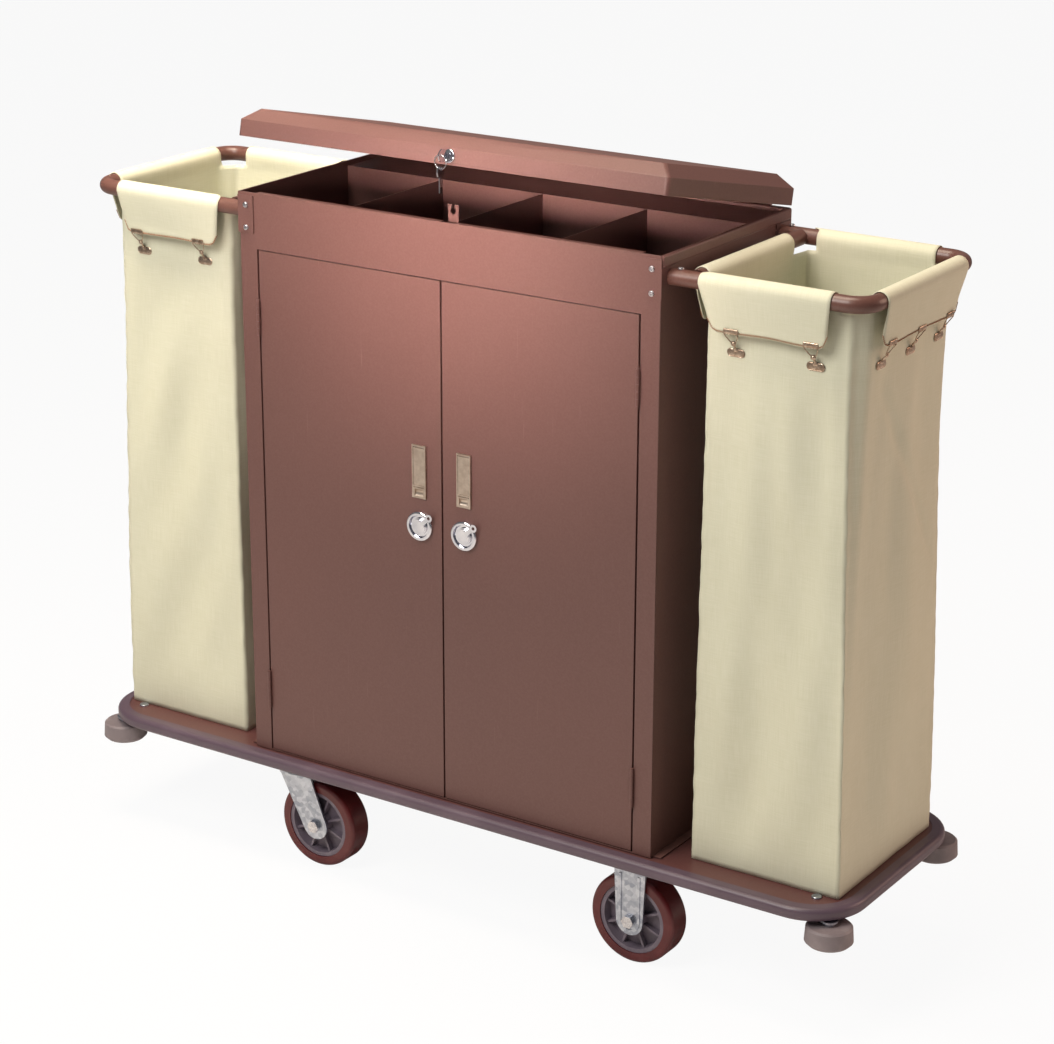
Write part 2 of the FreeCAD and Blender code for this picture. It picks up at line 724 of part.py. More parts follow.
def lock_body(x):
    """The round dished escutcheon and the barrel behind it."""
    face = -cabinet_depth - 0.05
    z = lock_z
    ring = rod(lock_radius, (x, face - 5.5, z), (x, face, z))
    front = [edge for edge in ring.Edges if edge.BoundBox.YMax < face - 5]
    ring = ring.makeFillet(3, front)
    dish = Part.makeCone(18.5, 16.5, 4, Vector(x, face - 5.6, z), Vector(0, 1, 0))
    barrel = rod(11, (x, face - 1, z), (x, -cabinet_depth + 19, z))
    bore = rod(5 + run_gap, (x, face - 9, z), (x, -cabinet_depth + 25, z))
    return fuse([ring.cut(dish), barrel]).cut(bore)


def lock_turn(x, cam_side):
    """The turning disc with its looped lever, its stem and the cam behind the door."""
    face = -cabinet_depth - 0.05
    z = lock_z
    back = -cabinet_depth + 24.2
    disc = rod(13.5, (x, face - 5.2, z), (x, face - 1.9, z))
    dome = rod(12.0, (x, face - 6.4, z), (x, face - 5.0, z))
    stem = rod(5, (x, face - 3, z), (x, -cabinet_depth + 20, z))
    neck = rod(4, (x, -cabinet_depth + 18, z), (x, back, z))
    arm = box((x + 7, x + 27), (face - 8.6, face - 6.0), (z - 3.6, z + 3.6))
    eye = rod(6.2, (x + 28, face - 8.6, z), (x + 28, face - 6.0, z))
    hole = rod(2.6, (x + 28, face - 12, z), (x + 28, face - 2, z))
    lever = fuse([arm, eye]).cut(hole)
    foot = rod(6, (x + 7, face - 8.6, z), (x + 7, face - 5.0, z))
    lever = fuse([lever, foot])
    lever.rotate(Vector(x, 0, z), Vector(0, -1, 0), lever_angle)
    tip = x + cam_side * 17
    cam = box(sorted((x, tip)), (back - 2, back), (z - 5, z + 5))
    cam_end = rod(5, (x, back - 2, z), (x, back, z))
    return fuse([disc, dome, stem, neck, lever, cam, cam_end])


# Lid

def lid_shell(inset):
    x = (-lid_half + inset, lid_half - inset)
    y = (lid_front + inset, lid_back - inset)
    low = lid_low - (1 if inset else 0)
    fold = lid_low + skirt - inset * 0.35
    top = lid_low + skirt + chamfer_up - inset
    drawn_in = chamfer_in
    wall = slab(x, y, 7 - inset, (low, fold))
    crown_x = (x[0] + drawn_in, x[1] - drawn_in)
    crown_y = (y[0] + drawn_in, y[1] - drawn_in)
    crown = Part.makeLoft([outline(x, y, 7 - inset, fold), outline(crown_x, crown_y, 4 - inset, top)], True, True)
    return fuse([wall, crown])


def lid():
    shell = lid_shell(0).cut(lid_shell(lid_sheet))
    hole = rod(9.0, (lid_lock_x, lid_front - 5, lid_lock_z), (lid_lock_x, lid_front + 5, lid_lock_z))
    return lid_pose(shell.cut(hole))


def lid_leaf(moving):
    """One leaf of the long hinge behind the lid, with every second knuckle."""
    reach = 350.0
    y, z = lid_axis_y, lid_axis_z
    if moving:
        plate = box((-reach, reach), (lid_back + 0.1, lid_back + 1.3), (z + 3.3, z + 22))
    else:
        plate = box((-reach, reach), (cabinet_depth + 0.1, cabinet_depth + 1.3), (z - 24, z - 3.3))
    parts = [plate]
    for span in knuckle_spans(-reach, reach, 15)[0 if moving else 1::2]:
        parts.append(rod(3, (span[0], y, z), (span[1], y, z)))
        if moving:
            parts.append(box(span, (lid_back + 0.1, lid_back + 1.3), (z, z + 3.5)))
        else:
            parts.append(box(span, (cabinet_depth + 0.1, y), (z - 3, z - 1.8)))
            parts.append(box(span, (cabinet_depth + 0.1, cabinet_depth + 1.3), (z - 3.5, z - 1.8)))
    leaf = fuse(parts).cut(rod(1.5, (-reach - 1, y, z), (reach + 1, y, z)))
    return lid_pose(leaf) if moving else leaf


def lid_pin():
    return rod(1.45, (-351, lid_axis_y, lid_axis_z), (351, lid_axis_y, lid_axis_z))


def lid_lock_body():
    x, z = lid_lock_x, lid_lock_z
    flange = rod(10.5, (x, lid_front - 3, z), (x, lid_front - 0.05, z))
    flange = flange.makeFillet(1.4, [min(flange.Edges, key=lambda edge: edge.BoundBox.YMax)])
    barrel = rod(8.8, (x, lid_front - 1, z), (x, strike_y - 5, z))
    bore = rod(5 + run_gap, (x, lid_front - 9, z), (x, strike_y, z))
    return lid_pose(fuse([flange, barrel]).cut(bore))


def lid_lock_turn():
    """The lid lock's plug with its flattened tail, and the key in it."""
    x, z = lid_lock_x, lid_lock_z
    front = lid_front - 3.6
    plug = rod(5, (x, front, z), (x, strike_y - 4.7, z))
    slot = box((x - 1.2, x + 1.2), (front - 1, front + 9), (z - 3.8, z + 3.8))
    tail = box((x - 2, x + 2), (strike_y - 5, strike_y + 6), (z - 4.4, z + 4.4))
    plug = fuse([plug, tail]).cut(slot)
    blade = box((x - 1, x + 1), (front - 8, front + 8), (z - 3.4, z + 3.4))
    bow_y = front - 15
    bow = rod(10, (x - 1, bow_y, z), (x + 1, bow_y, z))
    eye = rod(2.8, (x - 2, bow_y - 5, z), (x + 2, bow_y - 5, z))
    key = fuse([blade, bow]).cut(eye)
    return Part.makeCompound([lid_pose(plug), lid_pose(key)])


def key_eye():
    """The middle of the hole in the key's bow, with the lid at rest."""
    point = Part.Vertex(lid_lock_x, lid_front - 3.6 - 20, lid_lock_z)
    return lid_pose(point).Point


def hanging_key():
    """A split ring through the key's bow, and the spare key hanging on it."""
    eye = key_eye()
    ring_radius, wire = 10.5, 0.8
    middle = eye + Vector(0, 0, -ring_radius + 0.6)
    ring = Part.makeTorus(ring_radius, wire, middle, Vector(0, 1, 0))
    top = middle.z - ring_radius
    x, y = middle.x, middle.y
    bow = rod(9, (x - 1, y, top - 4.5), (x + 1, y, top - 4.5))
    shank = box((x - 1, x + 1), (y - 3.2, y + 3.2), (top - 36, top - 12))
    hole = rod(2.4, (x - 2, y, top), (x + 2, y, top))
    key = fuse([bow, shank]).cut(hole)
    return Part.makeCompound([ring, key])


def build():
    parts = {
        "deck_plate": deck_plate(),
        "deck_rim": deck_rim(),
        "deck_frame": deck_frame(),
        "deck_bolts": deck_bolts(),
        "roller_brackets": Part.makeCompound(four_corners(flip_y(roller_bracket()))),
        "rigid_forks": Part.makeCompound([rigid_fork(-wheel_line), rigid_fork(wheel_line)]),
        "rigid_axle_bolts": Part.makeCompound([axle_bolt(rigid_x, -wheel_line), axle_bolt(rigid_x, wheel_line)]),
        "swivel_top_plates": Part.makeCompound([swivel_top_plate(-wheel_line), swivel_top_plate(wheel_line),
                                                kingpin(-wheel_line), kingpin(wheel_line)]),
        "cabinet_right_side": cabinet_side(),
        "cabinet_left_side": flip_x(cabinet_side()),
        "cabinet_back": cabinet_back(),
        "cabinet_front_frame": cabinet_front(),
        "cabinet_floor": cabinet_floor(),
        "shelves": Part.makeCompound([shelf(level) for level in shelf_levels]),
        "tray_floor": tray_floor(),
        "tray_back": tray_back(),
        "tray_dividers": Part.makeCompound([tray_divider(x) for x in divider_places]),
        "hoop_brackets": Part.makeCompound(four_corners(hoop_bracket())),
        "bracket_screws": bracket_screws(),
        "right_hoop": hoop(),
        "left_hoop": flip_x(hoop()),
        "right_bag": bag(),
        "left_bag": flip_x(bag()),
        "bag_clips": Part.makeCompound(bag_clips() + [flip_x(piece) for piece in bag_clips()]),
        "door_hinge_stile_leaves": Part.makeCompound(hinge_leaf(False) + hinge_pins()
                                                     + [flip_x(p) for p in hinge_leaf(False) + hinge_pins()]),
        "lid_hinge_fixed_leaf": Part.makeCompound([lid_leaf(False), lid_pin()]),
        "lid_strike": lid_strike(),
        "lid": lid(),
        "lid_hinge_moving_leaf": lid_leaf(True),
        "lid_lock_body": lid_lock_body(),
        "lid_lock_turn": lid_lock_turn(),
        "hanging_key": hanging_key(),
        "right_door": door(),
        "left_door": flip_x(door()),
        "right_door_hinge_leaves": Part.makeCompound(hinge_leaf(True)),
        "left_door_hinge_leaves": Part.makeCompound([flip_x(leaf) for leaf in hinge_leaf(True)]),
    }
    for side, x in (("left", -fitting_x), ("right", fitting_x)):
        parts[side + "_pull_plate"] = pull_plate(x)
        parts[side + "_pull_leaf"] = pull_leaf(x)
        parts[side + "_lock_body"] = lock_body(x)
        parts[side + "_lock_turn"] = lock_turn(x, math.copysign(1, x))
    for place, y in (("front", -wheel_line), ("rear", wheel_line)):
        swivel_axle_x = swivel_x + swivel_trail
        parts["swivel_fork_" + place] = swivel_fork(y)
        parts["swivel_axle_bolt_" + place] = axle_bolt(swivel_axle_x, y)
        for end, x in (("left", swivel_axle_x), ("right", rigid_x)):
            parts["wheel_tread_%s_%s" % (end, place)] = wheel_tread(x, y)
            parts["wheel_hub_%s_%s" % (end, place)] = wheel_hub(x, y)
        roller = corner_roller() if y > 0 else flip_y(corner_roller())
        parts["corner_roller_right_" + place] = roller
        parts["corner_roller_left_" + place] = flip_x(roller)
    return parts


os.makedirs("parts", exist_ok=True)
for node, shape in build().items():
    shape.exportStep("parts/%s.step" % node)
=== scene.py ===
import json
import math

import bmesh
import bpy
from mathutils import Matrix, Vector, noise


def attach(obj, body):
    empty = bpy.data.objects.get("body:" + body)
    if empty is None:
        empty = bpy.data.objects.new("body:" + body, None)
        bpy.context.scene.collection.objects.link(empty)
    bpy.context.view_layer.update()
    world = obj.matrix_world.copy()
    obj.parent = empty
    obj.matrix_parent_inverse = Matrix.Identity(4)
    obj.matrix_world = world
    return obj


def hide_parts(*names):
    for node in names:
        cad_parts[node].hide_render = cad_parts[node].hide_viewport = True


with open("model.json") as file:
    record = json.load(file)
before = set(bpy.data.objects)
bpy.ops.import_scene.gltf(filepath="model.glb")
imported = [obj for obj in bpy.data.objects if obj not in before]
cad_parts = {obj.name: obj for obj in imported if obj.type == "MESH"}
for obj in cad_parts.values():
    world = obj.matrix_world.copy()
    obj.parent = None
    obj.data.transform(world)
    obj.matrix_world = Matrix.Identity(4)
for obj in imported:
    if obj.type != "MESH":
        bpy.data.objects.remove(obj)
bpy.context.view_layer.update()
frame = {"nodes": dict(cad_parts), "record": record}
nodes = frame["nodes"]
print("frame loaded,", len(nodes), "nodes")

millimetre = 0.001


def linear(hexColour):
    channels = [int(hexColour[at:at + 2], 16) / 255 for at in (1, 3, 5)]
    return tuple(c / 12.92 if c <= 0.04045 else ((c + 0.055) / 1.055) ** 2.4 for c in channels) + (1,)


def addNode(tree, kind, settings=None, links=None):
    node = tree.nodes.new(kind)
    for name, value in (settings or {}).items():
        if isinstance(name, str) and hasattr(node, name):
            setattr(node, name, value)
        else:
            node.inputs[name].default_value = value
    for name, source in (links or {}).items():
        tree.links.new(source, node.inputs[name])
    return node


def newMaterial(name, hexColour):
    material = bpy.data.materials.new(name)
    material.use_nodes = True
    material.diffuse_color = linear(hexColour)
    tree = material.node_tree
    return material, tree, tree.nodes["Principled BSDF"]


def smoothStep(low, high, value):
    t = min(1, max(0, (value - low) / (high - low)))
    return t * t * (3 - 2 * t)


# Powder-coated sheet steel: one even colour with the fine orange peel of baked powder, a soft
# sheen that changes a little over a big panel, and pale hairline scuffs.
def powderCoat(name, look):
    material, tree, shader = newMaterial(name, look["colour"])
    place = addNode(tree, "ShaderNodeTexCoord").outputs["Object"]
    drift = addNode(tree, "ShaderNodeTexNoise", {"Scale": 2.6, "Detail": 2}, {"Vector": place})
    grain = addNode(tree, "ShaderNodeTexNoise", {"Scale": 1 / (look["peel"] * millimetre), "Detail": 3},
                    {"Vector": place})
    shade = addNode(tree, "ShaderNodeMix",
                    {"data_type": "RGBA", 6: linear(look["dark"]), 7: linear(look["light"])},
                    {0: drift.outputs["Fac"]})
    speck = addNode(tree, "ShaderNodeMapRange", {"From Min": 0.35, "From Max": 0.7, "To Max": look["speck"]},
                    {"Value": grain.outputs["Fac"]})
    flecked = addNode(tree, "ShaderNodeMix", {"data_type": "RGBA", 7: linear(look["fleck"])},
                      {0: speck.outputs["Result"], 6: shade.outputs[2]})
    stretched = addNode(tree, "ShaderNodeMapping", {"Scale": (420, 420, 9), "Rotation": (0.3, 0.5, 0.2)},
                        {"Vector": place})
    hair = addNode(tree, "ShaderNodeTexNoise", {"Scale": 1, "Detail": 1}, {"Vector": stretched.outputs[0]})
    scuff = addNode(tree, "ShaderNodeMapRange", {"From Min": 0.74, "From Max": 0.82, "To Max": look["scuff"]},
                    {"Value": hair.outputs["Fac"]})
    worn = addNode(tree, "ShaderNodeMix", {"data_type": "RGBA", 7: linear(look["bare"])},
                   {0: scuff.outputs["Result"], 6: flecked.outputs[2]})
    tree.links.new(worn.outputs[2], shader.inputs["Base Color"])
    gloss = addNode(tree, "ShaderNodeMapRange",
                    {"From Min": 0.3, "From Max": 0.7,
                     "To Min": look["gloss"][0], "To Max": look["gloss"][1]},
                    {"Value": drift.outputs["Fac"]})
    tree.links.new(gloss.outputs["Result"], shader.inputs["Roughness"])
    bump = addNode(tree, "ShaderNodeBump", {"Strength": look["bump"], "Distance": 0.3 * millimetre},
                   {"Height": grain.outputs["Fac"]})
    tree.links.new(bump.outputs[0], shader.inputs["Normal"])
    shader.inputs["IOR"].default_value = 1.5
    return material


# The peel of real powder is about 1.5 mm across; it is drawn at 3 mm so that it shows.
cabinetPowder = {"colour": "#694743", "dark": "#5f403c", "light": "#6a4843", "fleck": "#7a5954",
                 "bare": "#a07c78", "peel": 3, "speck": 0.25, "scuff": 0.16,
                 "gloss": (0.40, 0.50), "bump": 0.10}
deckPowder = {"colour": "#67413d", "dark": "#573433", "light": "#613d3b", "fleck": "#74504c",
              "bare": "#a07c6c", "peel": 3, "speck": 0.25, "scuff": 0.35, "gloss": (0.34, 0.46), "bump": 0.12}
hoopPowder = {"colour": "#6d4a42", "dark": "#5a3a34", "light": "#66443c", "fleck": "#7d584d",
              "bare": "#a88472", "peel": 2.5, "speck": 0.25, "scuff": 0.30,
              "gloss": (0.30, 0.42), "bump": 0.10}
primerPaint = {"colour": "#43322f", "dark": "#382a28", "light": "#4a3835", "fleck": "#5a4642",
               "bare": "#86716a", "peel": 4, "speck": 0.3, "scuff": 0.3, "gloss": (0.5, 0.62), "bump": 0.18}


# Plated or bare metal: full metallic, with mottled roughness, and fine lines where it was
# brushed or drawn. "spangle" is the size in millimetres of the patches that zinc freezes into.
def platedMetal(name, look):
    material, tree, shader = newMaterial(name, look["colour"])
    place = addNode(tree, "ShaderNodeTexCoord").outputs["Object"]
    patch = addNode(tree, "ShaderNodeTexVoronoi", {"Scale": 1 / (look["spangle"] * millimetre)},
                    {"Vector": place})
    cloud = addNode(tree, "ShaderNodeTexNoise", {"Scale": 1 / (look["mottle"] * millimetre), "Detail": 4},
                    {"Vector": place})
    blend = addNode(tree, "ShaderNodeMix", {"data_type": "RGBA", 0: look["crystal"]},
                    {6: cloud.outputs["Fac"], 7: patch.outputs["Color"]})
    level = addNode(tree, "ShaderNodeRGBToBW", links={"Color": blend.outputs[2]})
    spread = addNode(tree, "ShaderNodeMapRange", {"From Min": 0.3, "From Max": 0.7},
                     {"Value": level.outputs[0]})
    shade = addNode(tree, "ShaderNodeMix",
                    {"data_type": "RGBA", 6: linear(look["dark"]), 7: linear(look["colour"])},
                    {0: spread.outputs["Result"]})
    tree.links.new(shade.outputs[2], shader.inputs["Base Color"])
    shader.inputs["Metallic"].default_value = 1
    gloss = addNode(tree, "ShaderNodeMapRange", {"To Min": look["gloss"][1], "To Max": look["gloss"][0]},
                    {"Value": spread.outputs["Result"]})
    tree.links.new(gloss.outputs["Result"], shader.inputs["Roughness"])
    drawn = addNode(tree, "ShaderNodeMapping", {"Scale": look["lines"]}, {"Vector": place})
    line = addNode(tree, "ShaderNodeTexNoise", {"Scale": 1, "Detail": 2}, {"Vector": drawn.outputs[0]})
    bump = addNode(tree, "ShaderNodeBump", {"Strength": look["bump"], "Distance": 0.1 * millimetre},
                   {"Height": line.outputs["Fac"]})
    tree.links.new(bump.outputs[0], shader.inputs["Normal"])
    return material


zincPlate = {"colour": "#c3c8d2", "dark": "#9aa0ae", "spangle": 7, "mottle": 14, "crystal": 0.5,
             "gloss": (0.28, 0.42), "lines": (300, 300, 300), "bump": 0.15}
boltPlate = {"colour": "#d8d8dc", "dark": "#b4b2b8", "spangle": 5, "mottle": 6, "crystal": 0.2,
             "gloss": (0.2, 0.34), "lines": (500, 500, 500), "bump": 0.08}
chromePlate = {"colour": "#e4e4ea", "dark": "#c8cad4", "spangle": 9, "mottle": 18, "crystal": 0.1,
               "gloss": (0.06, 0.14), "lines": (200, 200, 200), "bump": 0.02}
satinSteel = {"colour": "#cdbfb2", "dark": "#b3a294", "spangle": 9, "mottle": 9, "crystal": 0.1,
              "gloss": (0.28, 0.38), "lines": (60, 60, 2600), "bump": 0.35}
clipNickel = {"colour": "#cdb9a6", "dark": "#947c69", "spangle": 5, "mottle": 5, "crystal": 0.3,
              "gloss": (0.22, 0.40), "lines": (400, 400, 400), "bump": 0.12}


# Moulded rubber, vinyl or plastic: coloured right through, with a fine mould texture, cloudy
# colour and dust that dulls the gloss in patches.
def mouldedPolymer(name, look):
    material, tree, shader = newMaterial(name, look["colour"])
    place = addNode(tree, "ShaderNodeTexCoord").outputs["Object"]
    cloud = addNode(tree, "ShaderNodeTexNoise", {"Scale": 1 / (look["mottle"] * millimetre), "Detail": 4},
                    {"Vector": place})
    grain = addNode(tree, "ShaderNodeTexNoise", {"Scale": 1 / (look["grain"] * millimetre), "Detail": 2},
                    {"Vector": place})
    shade = addNode(tree, "ShaderNodeMix",
                    {"data_type": "RGBA", 6: linear(look["dark"]), 7: linear(look["colour"])},
                    {0: cloud.outputs["Fac"]})
    dustHere = addNode(tree, "ShaderNodeMapRange",
                       {"From Min": 0.5, "From Max": 0.8, "To Max": look["dustAmount"]},
                       {"Value": cloud.outputs["Fac"]})
    dusty = addNode(tree, "ShaderNodeMix", {"data_type": "RGBA", 7: linear(look["dust"])},
                    {0: dustHere.outputs["Result"], 6: shade.outputs[2]})
    tree.links.new(dusty.outputs[2], shader.inputs["Base Color"])
    gloss = addNode(tree, "ShaderNodeMapRange", {"To Min": look["gloss"][0], "To Max": look["gloss"][1]},
                    {"Value": cloud.outputs["Fac"]})
    tree.links.new(gloss.outputs["Result"], shader.inputs["Roughness"])
    bump = addNode(tree, "ShaderNodeBump", {"Strength": look["bump"], "Distance": 0.2 * millimetre},
                   {"Height": grain.outputs["Fac"]})
    tree.links.new(bump.outputs[0], shader.inputs["Normal"])
    shader.inputs["IOR"].default_value = look["ior"]
    return material


vinylEdging = {"colour": "#62505d", "dark": "#524350", "dust": "#7d6c78", "dustAmount": 0.2, "mottle": 60,
               "grain": 1.6, "gloss": (0.34, 0.46), "bump": 0.12, "ior": 1.53}
urethaneTread = {"colour": "#641519", "dark": "#460d11", "dust": "#7a5250", "dustAmount": 0.15, "mottle": 22,
                 "grain": 1.8, "gloss": (0.26, 0.44), "bump": 0.15, "ior": 1.52}
nylonHub = {"colour": "#746a76", "dark": "#5f5562", "dust": "#8d858c", "dustAmount": 0.3, "mottle": 18,
            "grain": 1.2, "gloss": (0.42, 0.56), "bump": 0.15, "ior": 1.53}
rollerRubber = {"colour": "#8b8083", "dark": "#776c70", "dust": "#a39a9a", "dustAmount": 0.3, "mottle": 25,
                "grain": 1.5, "gloss": (0.5, 0.66), "bump": 0.2, "ior": 1.52}


# Cotton canvas in a plain weave: matt, with a soft fuzz that catches grazing light, thick and
# thin threads, and faint uneven dye. Threads are 0.5 mm apart; they are drawn 1.6 mm apart,
# so that they show. The weave follows the cloth's own UV map, which is in metres.
def plainCanvas(name, look):
    material, tree, shader = newMaterial(name, look["colour"])
    across = addNode(tree, "ShaderNodeUVMap", {"uv_map": "cloth"}).outputs["UV"]
    spacing = look["thread"] * millimetre
    wobble = addNode(tree, "ShaderNodeTexNoise", {"Scale": 1 / (12 * spacing), "Detail": 2},
                     {"Vector": across})
    bent = addNode(tree, "ShaderNodeVectorMath", {"operation": "MULTIPLY_ADD", 1: (0.4 * spacing,) * 3},
                   {0: wobble.outputs["Color"], 2: across})
    threads = []
    for direction in ("X", "Y"):
        threads.append(addNode(tree, "ShaderNodeTexWave",
                               {"bands_direction": direction, "Scale": 1 / (20 * spacing) * 6.2832},
                               {"Vector": bent.outputs[0]}))
    weave = addNode(tree, "ShaderNodeMath", {"operation": "MULTIPLY"},
                    {0: threads[0].outputs["Fac"], 1: threads[1].outputs["Fac"]})
    slub = addNode(tree, "ShaderNodeMapping", {"Scale": (700, 24, 1)}, {"Vector": across})
    slubs = addNode(tree, "ShaderNodeTexNoise", {"Scale": 1, "Detail": 2}, {"Vector": slub.outputs[0]})
    weft = addNode(tree, "ShaderNodeMapping", {"Scale": (24, 700, 1)}, {"Vector": across})
    wefts = addNode(tree, "ShaderNodeTexNoise", {"Scale": 1, "Detail": 2}, {"Vector": weft.outputs[0]})
    yarn = addNode(tree, "ShaderNodeMath", {"operation": "ADD"},
                   {0: slubs.outputs["Fac"], 1: wefts.outputs["Fac"]})
    dye = addNode(tree, "ShaderNodeTexNoise", {"Scale": 5, "Detail": 4}, {"Vector": across})
    base = addNode(tree, "ShaderNodeMix",
                   {"data_type": "RGBA", 6: linear(look["dark"]), 7: linear(look["colour"])},
                   {0: dye.outputs["Fac"]})
    thick = addNode(tree, "ShaderNodeMapRange", {"From Min": 0.7, "From Max": 1.35, "To Max": look["yarn"]},
                    {"Value": yarn.outputs[0]})
    yarned = addNode(tree, "ShaderNodeMix", {"data_type": "RGBA", 7: linear(look["pale"])},
                     {0: thick.outputs["Result"], 6: base.outputs[2]})
    gap = addNode(tree, "ShaderNodeMapRange", {"From Min": 0.25, "To Min": look["gap"], "To Max": 0},
                  {"Value": weave.outputs[0]})
    woven = addNode(tree, "ShaderNodeMix", {"data_type": "RGBA", 7: linear(look["shadow"])},
                    {0: gap.outputs["Result"], 6: yarned.outputs[2]})
    tree.links.new(woven.outputs[2], shader.inputs["Base Color"])
    height = addNode(tree, "ShaderNodeMath", {"operation": "MULTIPLY_ADD", 1: 0.6},
                     {0: yarn.outputs[0], 2: weave.outputs[0]})
    bump = addNode(tree, "ShaderNodeBump", {"Strength": look["bump"], "Distance": 0.25 * millimetre},
                   {"Height": height.outputs[0]})
    tree.links.new(bump.outputs[0], shader.inputs["Normal"])
    shader.inputs["Roughness"].default_value = 0.88
    shader.inputs["Sheen Weight"].default_value = 0.18
    shader.inputs["Sheen Roughness"].default_value = 0.5
    shader.inputs["Sheen Tint"].default_value = linear("#fff4dc")
    shader.inputs["Specular IOR Level"].default_value = 0.25
    return material


creamCanvas = {"colour": "#dcdfca", "dark": "#d1d1b8", "pale": "#ebebdc", "shadow": "#b5a98c",
               "thread": 1.6, "yarn": 0.5, "gap": 0.25, "bump": 0.35}

# Thread for the hem stitches. Its tan-brown colour is painted shadow: it stands in for the thin brown shadow
# line beneath the hems.
threadAndHemShadow = {"colour": "#a9795a", "dark": "#8a5e42", "dust": "#c49a7c", "dustAmount": 0.25, "mottle": 3,
             "grain": 0.4, "gloss": (0.55, 0.7), "bump": 0.25, "ior": 1.5}

finishes = {
    "cabinet_paint": powderCoat("cabinetPowderCoat", cabinetPowder),
    "deck_paint": powderCoat("deckPowderCoat", deckPowder),
    "hoop_paint": powderCoat("tubePowderCoat", hoopPowder),
    "frame_paint": powderCoat("darkPrimer", primerPaint),
    "rim_vinyl": mouldedPolymer("vinylEdging", vinylEdging),
    "tread_rubber": mouldedPolymer("castUrethaneTread", urethaneTread),
    "hub_plastic": mouldedPolymer("mouldedNylonHub", nylonHub),
    "roller_rubber": mouldedPolymer("mouldedGreyRubber", rollerRubber),
    "zinc_steel": platedMetal("brightZincPlate", zincPlate),
    "bright_steel": platedMetal("nickelPlatedBolts", boltPlate),
    "chrome": platedMetal("polishedChrome", chromePlate),
    "satin_steel": platedMetal("satinBrushedSteel", satinSteel),
    "clip_steel": platedMetal("warmNickelPlate", clipNickel),
    "canvas": plainCanvas("creamCottonCanvas", creamCanvas),
    "thread": mouldedPolymer("threadAndPaintedHemShadow", threadAndHemShadow),
}
slotOf = {part["node"]: part["material_slot"] for part in frame["record"]["subparts"]}
for name, piece in nodes.items():
    piece.data.materials.clear()
    piece.data.materials.append(finishes[slotOf[name]])
print("finishes made and given to the carried-over parts")


# Adds a finished mesh to the scene, riding on a body.
def addPiece(name, mesh, slot, body, stoodFor=()):
    piece = bpy.data.objects.new(name, mesh)
    bpy.context.scene.collection.objects.link(piece)
    if not mesh.materials:
        mesh.materials.append(finishes[slot])
    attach(piece, body)
    if stoodFor:
        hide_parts(*stoodFor)
    return piece


def meshFrom(name, shape, smooth=True):
    mesh = bpy.data.meshes.new(name)
    shape.to_mesh(mesh)
    shape.free()
    if smooth:
        mesh.shade_smooth()
    return mesh


# The bags. Lengths are in metres, for the right bag; the left one is its mirror image with
# other folds.
bagCut = {
    "innerX": 0.4368, "outerX": 0.6872, "halfDepth": 0.1522,
    "floorZ": 0.2014, "topZ": 1.0945, "hoopZ": 1.1110, "hemZ": 1.0420,
    "tube": 0.0125, "clearance": 0.0011, "tubeFront": 0.165, "tubeOuter": 0.700, "tubeInner": 0.424,
    "cornerInset": (0.019, 0.005),
    "frontSlits": (0.008, 0.018), "outerSlits": (0.018, 0.018), "backSlits": (0.018, 0.008),
    "innerSlits": (0.034, 0.006), "cuffDraw": 0.011, "flare": 0.014,
    "column": 0.0068, "row": 0.0075, "thickness": 0.0011,
    "foldDepth": 0.0185, "sagIn": 0.0045, "hemRound": 0.016,
    "claspZ": 1.0108, "claspReach": 0.030,
    "ridge": {"middle": 0.52, "width": 0.13, "rise": 0.0065},
    "crease": {"along": 0.02, "top": 1.06, "lean": 0.62, "width": 0.013, "sink": 0.0050},
    "slant": {"across": 7, "up": 3.4, "rise": 0.0022},
}


def foldField(u, z, seed):
    # u runs 0 to 1 over a panel and z is the height in metres: long upright folds that lean a
    # little, and a few slack cross waves.
    lean = u + 0.16 * math.sin(3.1 * z + seed)
    upright = noise.noise(Vector((lean * 2.6, z * 1.1, seed * 1.7)))
    second = noise.noise(Vector((lean * 5.2 + 7, z * 2.2, seed * 2.3)))
    slant = noise.noise(Vector((u * 2.1 + z * 3.4, z * 2.6 - u * 1.4, seed * 3.1 + 11)))
    return 0.85 * upright + 0.3 * second + 0.5 * slant


def pucker(distance, z, seed):
    # The small gathers beside a sewn corner.
    return math.exp(-distance / 0.014) * noise.noise(Vector((z * 46, distance * 30, seed * 5.3)))


# How far each wall's clasps are from the start of its panel, so that the cloth can meet them.
claspPlaces = {0: (0.0532, 0.1812), 1: (0.0602, 0.1522, 0.2442), 2: (0.0692, 0.1972), 3: (0.0722, 0.2322)}


